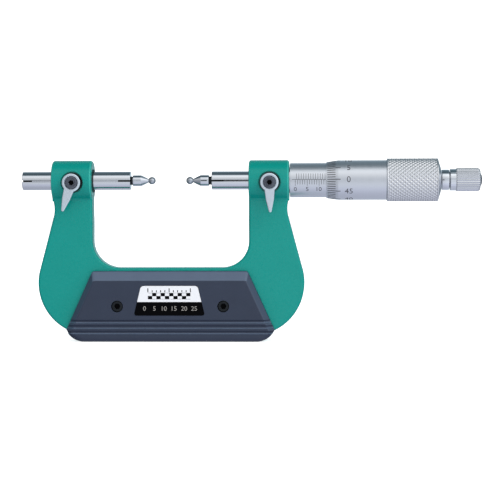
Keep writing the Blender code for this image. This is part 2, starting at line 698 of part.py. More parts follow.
def stud_shape():
    # A round stud in the barrel's side with a hexagon that drives it.
    back = -ROD_RADIUS - 2 * SEAT_GAP - PAD_THICKNESS
    lever_back = -SPOTFACE - SEAT_GAP
    end = lever_back - LEVER_SOCKET_DEPTH + SEAT_GAP
    shape = cross_rod(-SPOTFACE - SEAT_GAP / 2, back, STUD_RADIUS)
    joined(shape, extruded(hexagon(STUD_HEXAGON), end, -SPOTFACE + SEAT_GAP))
    return cut(shape, cross_rod(end - OVERSHOOT, back - STUD_FLOOR, LEVER_SCREW_RADIUS + FINE_GAP))


def lever_screw_shape():
    seat = -SPOTFACE - SEAT_GAP - LEVER_SOCKET_DEPTH - LEVER_WEB - SEAT_GAP
    front = seat - LEVER_SCREW_HEAD_HEIGHT
    tail = -ROD_RADIUS - 2 * SEAT_GAP - PAD_THICKNESS - STUD_FLOOR - SEAT_GAP
    edge = FINE_EDGE
    shape = turned([
        (front, 0), (front, LEVER_SCREW_HEAD_RADIUS - edge), (front + edge, LEVER_SCREW_HEAD_RADIUS),
        (seat, LEVER_SCREW_HEAD_RADIUS), (seat, LEVER_SCREW_RADIUS), (tail, LEVER_SCREW_RADIUS), (tail, 0)],
        SMALL_ROUND)
    moved(shape, turn=math.radians(90))
    floor = front + LEVER_SCREW_SOCKET_DEPTH
    return cut(shape, extruded(hexagon(LEVER_SCREW_SOCKET), front - OVERSHOOT, floor))


def make_clamps(steel, brass, black, pivots):
    lever = lever_shape()
    stud = stud_shape()
    screw = lever_screw_shape()
    pad_front = -ROD_RADIUS - SEAT_GAP - PAD_THICKNESS
    pad = cross_rod(pad_front, -ROD_RADIUS - SEAT_GAP, STUD_RADIUS)
    sides = (
        ("anvil", ANVIL_CLAMP_X, ANVIL_LEVER_TILT), ("spindle", SPINDLE_CLAMP_X, SPINDLE_LEVER_TILT))
    for (side, x, tilt), pivot in zip(sides, pivots):
        placed(f"{side}_clamp_pad", twin(pad), brass, None, (x, 0, CLAMP_HEIGHT))
        placed(f"{side}_clamp_stud", twin(stud), steel, pivot, turn=tilt)
        placed(f"{side}_lock_lever", twin(lever), steel, pivot, turn=tilt)
        placed(f"{side}_lever_screw", twin(screw), black, pivot, turn=tilt)
    for shape in (lever, stud, screw, pad):
        bpy.data.objects.remove(shape)


# Sleeves and the nut

def taper_radius(x):
    start = GUIDE_END - NUT_TAPER_LENGTH
    return GUIDE_RADIUS - NUT_TAPER * (x - start) / NUT_TAPER_LENGTH


def make_guide(finish):
    # The sleeve is pressed into the barrel. Its far end is the split nut with a tapered outside.
    nut_bore = THREAD_RADIUS + SEAT_GAP
    taper_start = GUIDE_END - NUT_TAPER_LENGTH
    shape = turned([
        (GUIDE_START, ROD_BORE), (GUIDE_START, GUIDE_RADIUS), (taper_start, GUIDE_RADIUS),
        (GUIDE_END, taper_radius(GUIDE_END)), (GUIDE_END, nut_bore), (NUT_START, nut_bore),
        (NUT_START - SEAT_GAP, ROD_BORE)], ROUND, closed=True)
    half = NUT_SLIT_WIDTH / 2
    for count in range(NUT_SLITS):
        low = (NUT_START + NUT_SLIT_START, -half, nut_bore / 2)
        slit = box(low, (GUIDE_END + OVERSHOOT, half, 2 * GUIDE_RADIUS))
        cut(shape, moved(slit, turn=math.tau * count / NUT_SLITS, axis="X"))
    cut(shape, cross_rod(-2 * GUIDE_RADIUS, -ROD_RADIUS / 2, STUD_HOLE, SPINDLE_CLAMP_X, -CLAMP_DROP))
    placed("spindle_guide", shape, finish, None, (0, 0, AXIS_HEIGHT))


def make_adjuster(finish):
    # A ring on the split nut's taper. Turning it closes the slits and takes up play.
    start = SLEEVE_END + 2 * SEAT_GAP
    end = start + ADJUSTER_LENGTH
    edge = EDGE
    shape = turned([
        (start, taper_radius(start) + FINE_GAP), (start, ADJUSTER_RADIUS - edge),
        (start + edge, ADJUSTER_RADIUS), (end - edge, ADJUSTER_RADIUS), (end, ADJUSTER_RADIUS - edge),
        (end, taper_radius(end) + FINE_GAP)], ROUND, closed=True)
    half = ADJUSTER_NOTCH / 2
    for turn in (0, math.pi):
        low = (end - ADJUSTER_NOTCH, -half, GUIDE_RADIUS)
        notch = box(low, (end + OVERSHOOT, half, 2 * ADJUSTER_RADIUS))
        cut(shape, moved(notch, turn=turn, axis="X"))
    placed("adjusting_nut", shape, finish, None, (0, 0, AXIS_HEIGHT))


def make_scale_sleeve(finish):
    bore = SLEEVE_RADIUS - SLEEVE_WALL
    edge = FINE_EDGE
    shape = turned([
        (SLEEVE_START, bore), (SLEEVE_START, SLEEVE_RADIUS - edge), (SLEEVE_START + edge, SLEEVE_RADIUS),
        (SLEEVE_END - edge, SLEEVE_RADIUS), (SLEEVE_END, SLEEVE_RADIUS - edge), (SLEEVE_END, bore)],
        FINE_ROUND, closed=True)
    # The spanner hole at the back turns the sleeve to set the zero.
    cut(shape, cross_rod(bore / 2, 2 * SLEEVE_RADIUS, SPANNER_HOLE_RADIUS, SCALE_ZERO))
    placed("scale_sleeve", shape, finish, None, (0, 0, AXIS_HEIGHT))


# Spindle and thimble

def make_spindle(finish, parent):
    tip_bore = STEM_RADIUS + FINE_GAP
    tip_floor = SPINDLE_FACE + STEM_LENGTH + SEAT_GAP
    screw_bore = ARBOR_SHANK_RADIUS + SEAT_GAP
    screw_floor = NECK_START - ARBOR_SHANK_LENGTH - SEAT_GAP
    shape = turned([
        (tip_floor, 0), (tip_floor, tip_bore), (SPINDLE_FACE, tip_bore),
        (SPINDLE_FACE, ROD_RADIUS - EDGE), (SPINDLE_FACE + EDGE, ROD_RADIUS),
        (THREAD_START - SEAT_GAP, ROD_RADIUS), (THREAD_START, THREAD_RADIUS),
        (THREAD_END, THREAD_RADIUS), (HUB_START, SEAT_TAPER_START), (SPINDLE_END, SEAT_TAPER_END),
        (SPINDLE_END, screw_bore), (screw_floor, screw_bore), (screw_floor, 0)])
    split_end(shape, SPINDLE_FACE, SLIT_LENGTH)
    placed("spindle", shape, finish, parent)


def make_thimble(finish, parent):
    knurl_end = THIMBLE_END - THIMBLE_CONE_LENGTH
    knurl_start = knurl_end - KNURL_LENGTH
    step = KNURL_RADIUS - THIMBLE_RADIUS
    taper_floor = SPINDLE_END + SEAT_GAP
    screw_hole = ARBOR_SHANK_RADIUS + SEAT_GAP
    chamfer = THIMBLE_FLOOR_CHAMFER
    shape = turned([
        (THIMBLE_EDGE, THIMBLE_BORE), (THIMBLE_EDGE, THIMBLE_BORE + THIMBLE_EDGE_WALL),
        (THIMBLE_EDGE + THIMBLE_BEVEL_LENGTH, THIMBLE_RADIUS), (knurl_start - step, THIMBLE_RADIUS),
        (knurl_start, KNURL_RADIUS), (knurl_end, KNURL_RADIUS), (THIMBLE_END, THIMBLE_END_RADIUS),
        (THIMBLE_END, screw_hole), (taper_floor, screw_hole), (taper_floor, SEAT_TAPER_END + FINE_GAP),
        (HUB_START, SEAT_TAPER_START + FINE_GAP), (HUB_START, THIMBLE_BORE - chamfer),
        (HUB_START - chamfer, THIMBLE_BORE)], FINE_ROUND, closed=True)
    placed("thimble", shape, finish, parent)


# Ratchet stop

def click_teeth(base, root):
    # A ring with saw teeth between its flat base and the roots. Each ramp ends in a step.
    inner = ARBOR_PIN_RADIUS + SEAT_GAP
    outer = ARBOR_JOURNAL_RADIUS - SEAT_GAP / 6
    bm = bmesh.new()
    step = math.tau / CLICK_TEETH
    rings = []
    for count in range(CLICK_TEETH):
        angle = count * step
        direction = Vector((0, math.cos(angle), math.sin(angle)))
        levels = (base, root, root + CLICK_TOOTH_HEIGHT)
        rings.append([
            bm.verts.new(direction * radius + Vector((x, 0, 0)))
            for radius in (inner, outer) for x in levels])
    for count, here in enumerate(rings):
        after = rings[(count + 1) % CLICK_TEETH]
        for side in (0, 3):
            start, low, high = here[side:side + 3]
            end, next_low, next_high = after[side:side + 3]
            step_side = [next_low, next_high, low] if base < root else [next_high, low, high]
            bm.faces.new([start, end, *step_side])
        bm.faces.new([here[0], after[0], after[3], here[3]])
        bm.faces.new([here[1], after[2], after[5], here[4]])
        bm.faces.new([after[1], after[2], after[5], after[4]])
    return solid(bm)


def make_arbor(finish, parent):
    # Screws into the spindle through the thimble and carries the fixed teeth and the knob's pin.
    start = NECK_START - ARBOR_SHANK_LENGTH
    edge = FINE_EDGE
    bore = END_SCREW_RADIUS + FINE_GAP
    bore_floor = PIN_END + FINE_GAP - END_SCREW_LENGTH - SEAT_GAP
    shape = turned([
        (start, 0), (start, ARBOR_SHANK_RADIUS), (NECK_START, ARBOR_SHANK_RADIUS),
        (NECK_START, ARBOR_NECK_RADIUS - edge), (NECK_START + edge, ARBOR_NECK_RADIUS),
        (NECK_END - edge, ARBOR_NECK_RADIUS), (NECK_END, ARBOR_NECK_RADIUS - edge),
        (NECK_END, ARBOR_JOURNAL_RADIUS), (TOOTH_ROOT - edge, ARBOR_JOURNAL_RADIUS),
        (TOOTH_ROOT - edge, ARBOR_PIN_RADIUS), (PIN_END, ARBOR_PIN_RADIUS),
        (PIN_END, bore), (bore_floor, bore), (bore_floor, 0)])
    base = NECK_END + ARBOR_JOURNAL_LENGTH / 2
    placed("ratchet_arbor", joined(shape, click_teeth(base, TOOTH_ROOT)), finish, parent)


def make_click_ring(finish, parent):
    # The mating teeth face back towards the arbor's and lie just clear of them.
    outer = ARBOR_JOURNAL_RADIUS
    relief = FINE_GAP / outer
    shape = moved(click_teeth(CLICK_END, TOOTH_ROOT + FINE_GAP), turn=relief, axis="X")
    lug_start = TOOTH_ROOT + CLICK_TOOTH_HEIGHT + SEAT_GAP
    half = CLICK_LUG_WIDTH / 2
    for turn in (0, math.pi):
        low = (lug_start, -half, outer - SEAT_GAP)
        lug = box(low, (CLICK_END - SEAT_GAP, half, outer + CLICK_LUG_HEIGHT))
        joined(shape, moved(lug, turn=turn, axis="X"))
    placed("ratchet_click_ring", shape, finish, parent)


def make_spring(finish, parent):
    # A coil of round wire that presses the click ring against the arbor.
    curve = bpy.data.curves.new("ratchet_spring", "CURVE")
    curve.dimensions = "3D"
    curve.bevel_depth = SPRING_WIRE_RADIUS
    curve.bevel_resolution = 1
    curve.use_fill_caps = True
    steps = SPRING_STEPS * SPRING_TURNS
    spline = curve.splines.new("POLY")
    spline.points.add(steps)
    run = SPRING_LENGTH - 2 * SPRING_WIRE_RADIUS
    for step, point in enumerate(spline.points):
        angle = math.tau * SPRING_TURNS * step / steps
        x = SPRING_START + SPRING_WIRE_RADIUS + run * step / steps
        point.co = (x, SPRING_RADIUS * math.cos(angle), SPRING_RADIUS * math.sin(angle), 1)
    curve.materials.append(finish)
    spring = bpy.data.objects.new("ratchet_spring", curve)
    bpy.context.scene.collection.objects.link(spring)
    spring.parent = parent


def fluted(rows):
    # Rings of (x, radius, flute depth) round the X axis, joined into one closed skin.
    bm = bmesh.new()
    rings = []
    for x, radius, depth in rows:
        ring = []
        for step in range(2 * KNOB_FLUTES):
            angle = math.pi * step / KNOB_FLUTES
            reach = radius - depth * (step % 2)
            ring.append(bm.verts.new((x, reach * math.cos(angle), reach * math.sin(angle))))
        rings.append(ring)
    skinned(bm, rings + rings[:1])
    return solid(bm)


def make_knob(finish, parent):
    collar_end = KNOB_START + KNOB_COLLAR_LENGTH
    step = KNOB_RADIUS - KNOB_COLLAR_RADIUS
    pin_hole = ARBOR_PIN_RADIUS + SEAT_GAP
    recess = END_SCREW_HEAD_RADIUS + SEAT_GAP
    edge = FINE_EDGE
    flute = KNOB_FLUTE_DEPTH
    shape = fluted([
        (KNOB_START, KNOB_BORE, 0), (KNOB_START, KNOB_COLLAR_RADIUS - edge, 0),
        (KNOB_START + edge, KNOB_COLLAR_RADIUS, flute / 2), (collar_end, KNOB_COLLAR_RADIUS, flute / 2),
        (collar_end + step, KNOB_RADIUS, flute), (KNOB_END - KNOB_CHAMFER, KNOB_RADIUS, flute),
        (KNOB_END, KNOB_RADIUS - KNOB_CHAMFER_DROP, 0), (KNOB_END, recess, 0), (KNOB_SEAT, recess, 0),
        (KNOB_SEAT, pin_hole, 0), (KNOB_FLOOR, pin_hole, 0), (KNOB_FLOOR, KNOB_BORE, 0)])
    half = CLICK_LUG_WIDTH / 2 + SEAT_GAP
    depth = ARBOR_JOURNAL_RADIUS + CLICK_LUG_HEIGHT + FINE_GAP
    for turn in (0, math.pi):
        low = (KNOB_START - OVERSHOOT, -half, KNOB_BORE / 2)
        keyway = box(low, (KNOB_FLOOR - SEAT_GAP, half, depth))
        cut(shape, moved(keyway, turn=turn, axis="X"))
    placed("ratchet_knob", shape, finish, parent)


def make_end_screw(finish, parent):
    seat = PIN_END + FINE_GAP
    end = seat + END_SCREW_HEAD_HEIGHT
    tail = seat - END_SCREW_LENGTH
    edge = EDGE
    shape = turned([
        (tail, 0), (tail, END_SCREW_RADIUS), (seat, END_SCREW_RADIUS), (seat, END_SCREW_HEAD_RADIUS),
        (end - edge, END_SCREW_HEAD_RADIUS), (end, END_SCREW_HEAD_RADIUS - edge), (end, 0)], SMALL_ROUND)
    half = END_SCREW_SLOT / 2
    reach = 2 * END_SCREW_HEAD_RADIUS
    floor = end - END_SCREW_SLOT_DEPTH
    cut(shape, box((floor, -reach, -half), (end + OVERSHOOT, reach, half)))
    placed("ratchet_end_screw", shape, finish, parent)


# Assembly

def build():
    for old in list(bpy.data.objects):
        bpy.data.objects.remove(old)

    green = material("green_lacquer", (40, 149, 140), 0.0, 0.35)
    slate = material("slate_plastic", (56, 65, 83), 0.0, 0.5)
    label = material("label_print", (238, 238, 240), 0.0, 0.4)
    black = material("blackened_steel", (22, 26, 30), 0.6, 0.45)
    steel = material("ground_steel", (196, 200, 206), 1.0, 0.25)
    satin = material("satin_chrome", (205, 208, 214), 1.0, 0.35)
    carbide = material("carbide_ball", (150, 153, 160), 1.0, 0.12)
    brass = material("brass", (190, 160, 90), 1.0, 0.35)
    spring_steel = material("spring_steel", (150, 152, 156), 1.0, 0.3)

    anvil_slide = carrier("anvil_slide", (0, 0, AXIS_HEIGHT))
    anvil_pivot = carrier("anvil_lock_pivot", (ANVIL_CLAMP_X, 0, CLAMP_HEIGHT))
    spindle_pivot = carrier("spindle_lock_pivot", (SPINDLE_CLAMP_X, 0, CLAMP_HEIGHT))
    spindle_slide = carrier("spindle_slide", (0, 0, AXIS_HEIGHT))
    spin_axis = carrier("spindle_axis", (0, 0, 0), spindle_slide)
    knob_axis = carrier("ratchet_axis", (0, 0, 0), spin_axis)

    make_frame(green)
    make_grip_plates(slate)
    make_grip_screws(black)
    make_label(label)
    holder, ball = make_anvil(steel, carbide, anvil_slide)
    place = (SPINDLE_FACE, 0, 0)
    placed("spindle_tip_holder", holder, steel, spindle_slide, place, math.pi, 2)
    placed("spindle_ball", ball, carbide, spindle_slide, place, math.pi, 2)
    make_clamps(steel, brass, black, (anvil_pivot, spindle_pivot))
    make_guide(steel)
    make_adjuster(brass)
    make_scale_sleeve(satin)
    make_spindle(steel, spin_axis)
    make_thimble(satin, spin_axis)
    make_arbor(satin, spin_axis)
    make_end_screw(steel, spin_axis)
    make_click_ring(spring_steel, knob_axis)
    make_spring(spring_steel, knob_axis)
    make_knob(satin, knob_axis)


build()
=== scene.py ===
# Looks of the gear tooth micrometer: every visible surface is modelled finely here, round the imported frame.
# Metres throughout. X runs towards the thimble, Y to the back, Z up; the measuring axis lies along X.
import json
import math

import bmesh
import bpy
from mathutils import Matrix, Vector

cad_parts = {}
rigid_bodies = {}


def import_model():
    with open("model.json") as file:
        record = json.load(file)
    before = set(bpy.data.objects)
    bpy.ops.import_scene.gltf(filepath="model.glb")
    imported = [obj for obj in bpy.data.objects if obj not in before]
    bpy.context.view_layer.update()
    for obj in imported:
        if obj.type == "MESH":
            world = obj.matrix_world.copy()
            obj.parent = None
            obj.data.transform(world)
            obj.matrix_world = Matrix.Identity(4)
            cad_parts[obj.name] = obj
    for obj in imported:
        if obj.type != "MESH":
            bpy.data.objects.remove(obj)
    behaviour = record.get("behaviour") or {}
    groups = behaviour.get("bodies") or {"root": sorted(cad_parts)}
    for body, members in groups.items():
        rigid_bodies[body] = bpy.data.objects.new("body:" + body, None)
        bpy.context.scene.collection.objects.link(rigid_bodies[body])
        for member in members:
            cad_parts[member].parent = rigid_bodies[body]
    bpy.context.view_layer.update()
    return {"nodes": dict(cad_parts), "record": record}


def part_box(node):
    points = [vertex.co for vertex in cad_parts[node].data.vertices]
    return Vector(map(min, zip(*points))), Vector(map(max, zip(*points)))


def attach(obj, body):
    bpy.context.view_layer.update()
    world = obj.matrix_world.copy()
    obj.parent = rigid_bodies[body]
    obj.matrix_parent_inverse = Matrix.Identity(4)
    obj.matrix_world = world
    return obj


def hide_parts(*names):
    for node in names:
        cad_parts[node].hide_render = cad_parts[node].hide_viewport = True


for startObject in list(bpy.data.objects):
    bpy.data.objects.remove(startObject)
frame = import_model()
print("frame loaded:", len(frame["nodes"]), "nodes")

mm = 0.001
over = 1 * mm  # how far a cutter reaches past the surface that it cuts
core = 0.1 * mm  # radius of the first ring of a solid round piece
hair = 0.001 * mm  # too little to be seen
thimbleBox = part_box("thimble")
axisHeight = (thimbleBox[0].z + thimbleBox[1].z) / 2  # the measuring axis
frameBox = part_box("frame")
depthMiddle = (frameBox[0].y + frameBox[1].y) / 2


def roundBox(node):
    # Where a round piece on the measuring axis starts and ends, and its radius.
    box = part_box(node)
    return box[0].x, box[1].x, (box[1].z - box[0].z) / 2


def clampCentre(side):
    # The x and z of a lock lever's axis, taken from the pad in front of the rod.
    low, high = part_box(f"{side}_clamp_pad")
    return (low.x + high.x) / 2, (low.z + high.z) / 2


def fromAxis(point):
    return math.hypot(point.y - depthMiddle, point.z - axisHeight)


def addObject(name, data):
    item = bpy.data.objects.new(name, data)
    bpy.context.scene.collection.objects.link(item)
    return item


def evaluatedMesh(item):
    bpy.context.view_layer.update()
    graph = bpy.context.evaluated_depsgraph_get()
    return bpy.data.meshes.new_from_object(item.evaluated_get(graph))


# Shape helpers

def arcPoints(centre, radius, start, end, steps):
    angles = [start + (end - start) * step / steps for step in range(steps + 1)]
    return [(centre[0] + radius * math.cos(a), centre[1] + radius * math.sin(a)) for a in angles]


def softened(points, radius, steps=3, loop=False):
    # Rounds the corners of an outline. A corner between short sides gets a smaller curve.
    result = []
    count = len(points)
    for index, point in enumerate(points):
        if not loop and index in (0, count - 1):
            result.append(tuple(point))
            continue
        corner = Vector(point)
        before = Vector(points[index - 1]) - corner
        after = Vector(points[(index + 1) % count]) - corner
        reach = min(radius, before.length * 0.45, after.length * 0.45)
        if reach < 1e-7 or before.angle(after) > math.radians(172):
            result.append(tuple(point))
            continue
        start = corner + before.normalized() * reach
        end = corner + after.normalized() * reach
        for step in range(steps + 1):
            share = step / steps
            bent = start * (1 - share) ** 2 + corner * 2 * share * (1 - share) + end * share ** 2
            result.append(tuple(bent))
    return result


def skinRings(bm, rings, loop=False, capped=False):
    # Joins each ring of points to the next. Loop joins the last ring to the first.
    grid = [[bm.verts.new(point) for point in ring] for ring in rings]
    pairs = list(zip(grid, grid[1:]))
    if loop:
        pairs.append((grid[-1], grid[0]))
    for first, second in pairs:
        for step, corner in enumerate(first):
            after = (step + 1) % len(first)
            bm.faces.new([corner, first[after], second[after], second[step]])
    if capped:
        bm.faces.new(grid[0])
        bm.faces.new(grid[-1])


def skinned(rings, loop=False, capped=False):
    bm = bmesh.new()
    skinRings(bm, rings, loop, capped)
    return bm


def shift(bm, way):
    bmesh.ops.translate(bm, vec=way, verts=bm.verts)


def onAxis(x, radius, angle):
    # A point round the measuring axis. Angle 0 faces the front and grows upwards.
    return Vector((x, depthMiddle - radius * math.cos(angle), axisHeight + radius * math.sin(angle)))


def latheRings(profile, segments):
    turns = [math.tau * step / segments for step in range(segments)]
    return [[onAxis(x, radius, turn) for turn in turns] for x, radius in profile]


def lathe(profile, segments, loop=True):
    return skinned(latheRings(profile, segments), loop=loop)


def waved(rows, segments, move):
    # Rings round the axis from rows of (x, radius, depth). Move shifts a point along and outwards by depth.
    rings = []
    for x, radius, depth in rows:
        shifts = [move(depth, index) for index in range(segments)]
        rings.append([onAxis(x + along, radius + out, math.tau * index / segments)
                      for index, (along, out) in enumerate(shifts)])
    return rings


def extrude(outline, front, back, edge=0.0, steps=1):
    # Extrudes an outline of (x, z) points along Y and rounds its two rims.
    bm = bmesh.new()
    face = bm.faces.new([bm.verts.new((x, front, z)) for x, z in outline])
    grown = bmesh.ops.extrude_face_region(bm, geom=[face])
    moving = [item for item in grown["geom"] if isinstance(item, bmesh.types.BMVert)]
    bmesh.ops.translate(bm, verts=moving, vec=(0, back - front, 0))
    if edge > 0:
        rims = [
            line for line in bm.edges
            if abs(line.verts[0].co.y - line.verts[1].co.y) < abs(back - front) / 2]
        bmesh.ops.bevel(
            bm, geom=rims, offset=edge, offset_type="OFFSET", segments=steps,
            profile=0.5, affect="EDGES")
    return bm


def block(low, high):
    bm = bmesh.new()
    bmesh.ops.create_cube(bm, size=1)
    bmesh.ops.scale(bm, vec=Vector(high) - Vector(low), verts=bm.verts)
    shift(bm, (Vector(low) + Vector(high)) / 2)
    return bm


def turnBy(bm, angle, axis):
    bmesh.ops.rotate(bm, cent=(0, 0, 0), matrix=Matrix.Rotation(angle, 3, axis), verts=bm.verts)


def closedMesh(bm, name="shape"):
    bmesh.ops.remove_doubles(bm, verts=bm.verts, dist=1e-7)
    bmesh.ops.recalc_face_normals(bm, faces=bm.faces)
    mesh = bpy.data.meshes.new(name)
    bm.to_mesh(mesh)
    bm.free()
    return mesh


def combined(bm, tools, operation):
    # Boolean with each tool in turn, and back to a bmesh.
    piece = addObject("blank", closedMesh(bm))
    for tool in tools:
        cutter = addObject("cutter", closedMesh(tool))
        modifier = piece.modifiers.new("shape", "BOOLEAN")
        modifier.operation = operation
        modifier.object = cutter
        mesh = evaluatedMesh(piece)
        piece.modifiers.clear()
        piece.data = mesh
        bpy.data.objects.remove(cutter)
        split = bmesh.new()
        split.from_mesh(mesh)
        bmesh.ops.triangulate(split, faces=[face for face in split.faces if len(face.verts) > 4])
        split.to_mesh(mesh)
        split.free()
    result = bmesh.new()
    result.from_mesh(piece.data)
    bpy.data.objects.remove(piece)
    return result


def makePiece(name, bm, finishes, body, replaced=(), sharpAngle=35):
    # Names the shape, shades it, puts its finish on and lets it ride on its body.
    mesh = closedMesh(bm, name)
    for finish in finishes if isinstance(finishes, list) else [finishes]:
        mesh.materials.append(finish)
    mesh.shade_smooth()
    mesh.set_sharp_from_angle(angle=math.radians(sharpAngle))
    piece = addObject(name, mesh)
    even = piece.modifiers.new("even shading", "WEIGHTED_NORMAL")
    even.keep_sharp = True
    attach(piece, body)
    if replaced:
        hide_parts(*replaced)


# Finishes

def screenColour(tone):
    # A tone as a screen shows it, from 0 to 255, as the linear colour that a shader takes.
    def linear(channel):
        share = channel / 255
        return share / 12.92 if share <= 0.04045 else ((share + 0.055) / 1.055) ** 2.4
    return (*(linear(channel) for channel in tone), 1)


def addNode(tree, kind, inputs, **settings):
    # A new node. Each input is a number, a colour or the output of another node.
    node = tree.nodes.new(kind)
    for name, value in settings.items():
        setattr(node, name, value)
    for name, value in inputs.items():
        if isinstance(value, bpy.types.NodeSocket):
            tree.links.new(value, node.inputs[name])
        else:
            node.inputs[name].default_value = value
    return node


def newFinish(name, metallic, roughness):
    finish = bpy.data.materials.new(name)
    finish.use_nodes = True
    shader = finish.node_tree.nodes["Principled BSDF"]
    shader.inputs["Metallic"].default_value = metallic
    shader.inputs["Roughness"].default_value = roughness
    return finish, finish.node_tree, shader


def noiseNode(tree, vector, scale, detail=2.0):
    inputs = {"Vector": vector, "Scale": scale, "Detail": detail}
    return addNode(tree, "ShaderNodeTexNoise", inputs).outputs["Fac"]


def mapped(tree, value, source, target, easing="LINEAR"):
    # Takes a value from one range to another.
    inputs = dict(zip(("From Min", "From Max", "To Min", "To Max"), (*source, *target)), Value=value)
    return addNode(tree, "ShaderNodeMapRange", inputs, interpolation_type=easing).outputs["Result"]


def colourBetween(tree, factor, first, second, shader):
    # Mottles the base colour between two near tones.
    inputs = {0: factor, 6: screenColour(first), 7: screenColour(second)}
    mix = addNode(tree, "ShaderNodeMix", inputs, data_type="RGBA")
    tree.links.new(mix.outputs[2], shader.inputs["Base Color"])


def roughnessBetween(tree, factor, limits, shader):
    # Noise lies mostly between 0.3 and 0.7, so that range is spread over the two limits.
    tree.links.new(mapped(tree, factor, (0.3, 0.7), limits), shader.inputs["Roughness"])


def bumpFrom(tree, height, strength, distance, shader):
    bump = addNode(tree, "ShaderNodeBump", {"Strength": strength, "Distance": distance, "Height": height})
    tree.links.new(bump.outputs["Normal"], shader.inputs["Normal"])


def objectPlace(tree):
    return tree.nodes.new("ShaderNodeTexCoord").outputs["Object"]


def latheMarks(tree):
    # Place along and out from the measuring axis, so that a noise read there runs in rings round it.
    inputs = {0: objectPlace(tree), 1: (0, depthMiddle, axisHeight)}
    offset = addNode(tree, "ShaderNodeVectorMath", inputs, operation="SUBTRACT")
    split = addNode(tree, "ShaderNodeSeparateXYZ", {0: offset.outputs[0]}).outputs
    across = addNode(tree, "ShaderNodeCombineXYZ", {"Y": split["Y"], "Z": split["Z"]})
    out = addNode(tree, "ShaderNodeVectorMath", {0: across.outputs[0]}, operation="LENGTH")
    place = addNode(tree, "ShaderNodeCombineXYZ", {"X": split["X"], "Y": out.outputs["Value"]})
    return place.outputs[0]


lacquerCoat = {
    "patches": 90, "sheen": 450, "roughness": (0.24, 0.32), "grain": 900, "grainDetail": 1, "bump": 0.12,
    "depth": 0.05 * mm, "refraction": 1.34}
plasticCoat = {
    "patches": 160, "sheen": 1800, "roughness": (0.36, 0.48), "grain": 4200, "grainDetail": 2, "bump": 0.25,
    "depth": 0.03 * mm, "refraction": 1.55}


def coatedSkin(name, tone, lighter, k):
    # Lacquer or moulded plastic: broad patches of tone, an uneven sheen and a fine grain.
    finish, tree, shader = newFinish(name, 0.0, k["roughness"][0])
    place = objectPlace(tree)
    colourBetween(tree, noiseNode(tree, place, k["patches"], 3), tone, lighter, shader)
    roughnessBetween(tree, noiseNode(tree, place, k["sheen"]), k["roughness"], shader)
    grain = noiseNode(tree, place, k["grain"], k["grainDetail"])
    bumpFrom(tree, grain, k["bump"], k["depth"], shader)
    shader.inputs["IOR"].default_value = k["refraction"]
    return finish


def turnedMetal(name, tone, lighter, roughness, ringScale, depth):
    # Metal that was turned or ground round the measuring axis, with fine rings.
    finish, tree, shader = newFinish(name, 1.0, roughness[0])
    rings = noiseNode(tree, latheMarks(tree), ringScale, 3)
    colourBetween(tree, rings, tone, lighter, shader)
    roughnessBetween(tree, rings, roughness, shader)
    bumpFrom(tree, rings, depth, 0.01 * mm, shader)
    return finish


def pressedMetal(name, tone, lighter, roughness, scale, metallic=1.0):
    # Metal with an even grain that follows no axis.
    finish, tree, shader = newFinish(name, metallic, roughness[0])
    place = objectPlace(tree)
    grain = noiseNode(tree, place, scale, 3)
    colourBetween(tree, grain, tone, lighter, shader)
    roughnessBetween(tree, grain, roughness, shader)
    bumpFrom(tree, grain, 0.15, 0.02 * mm, shader)
    return finish


def printedInk(name, tone, lighter, roughness, gloss=0.5):
    finish, tree, shader = newFinish(name, 0.0, roughness)
    shader.inputs["Specular IOR Level"].default_value = gloss
    speckle = noiseNode(tree, objectPlace(tree), 2500, 2)
    colourBetween(tree, speckle, tone, lighter, shader)
    return finish


# Each finish is a tone, a lighter tone, and what its kind takes
lacquer = coatedSkin("green lacquer", (3, 148, 136), (6, 153, 142), lacquerCoat)
# Painted highlight: a lighter copy of the green lacquer for the rounded ends of the barrels.
lacquerHighlight = coatedSkin("green lacquer painted highlight", (48, 172, 158), (54, 178, 164), lacquerCoat)
slate = coatedSkin("slate plastic", (30, 42, 64), (36, 48, 71), plasticCoat)
# Painted side light: a lighter copy of the slate for the side bevels of the grip plates.
slateSideLight = coatedSkin("slate plastic painted side light", (54, 66, 88), (60, 73, 95), plasticCoat)
# Painted highlight: a lighter copy of the slate for the top bevel and the grooves' lower flanks.
slateTopHighlight = coatedSkin("slate plastic painted highlight", (80, 95, 118), (86, 102, 125), plasticCoat)
chrome = turnedMetal("satin chrome", (214, 217, 222), (226, 229, 234), (0.34, 0.42), 2600, 0.2)
# Painted light: a lighter copy of the satin chrome, so that the knurl looks brighter.
knurlLitChrome = turnedMetal("knurled chrome painted light", (228, 229, 231), (238, 239, 240), (0.34, 0.42), 2600, 0.1)
flutedChrome = turnedMetal("fluted chrome", (202, 204, 208), (214, 216, 220), (0.22, 0.3), 2600, 0.1)
anvilSteel = turnedMetal("ground anvil steel", (208, 211, 216), (220, 223, 227), (0.1, 0.15), 5200, 0.04)
spindleSteel = turnedMetal("lapped spindle steel", (208, 211, 215), (218, 221, 225), (0.06, 0.1), 5200, 0.08)
tipSteel = turnedMetal("tip steel", (204, 208, 214), (214, 218, 223), (0.04, 0.07), 6000, 0.01)
leverSteel = pressedMetal("lever satin chrome", (226, 236, 244), (232, 242, 249), (0.3, 0.38), 1500)
# Painted shade: a dark steel for the walls of the lever hubs.
hubWallShade = pressedMetal("painted shade hub wall", (20, 26, 28), (28, 34, 36), (0.4, 0.5), 1500)
# Black oxide steel for the screws, also painted shade on the stems of the tips.
blackSteelAndShade = pressedMetal("blackened steel and painted shade", (18, 23, 27), (28, 34, 39), (0.32, 0.42), 2200, 0.55)
screwSteel = pressedMetal("blackened screw head", (88, 92, 102), (106, 110, 120), (0.15, 0.22), 2200, 0.8)
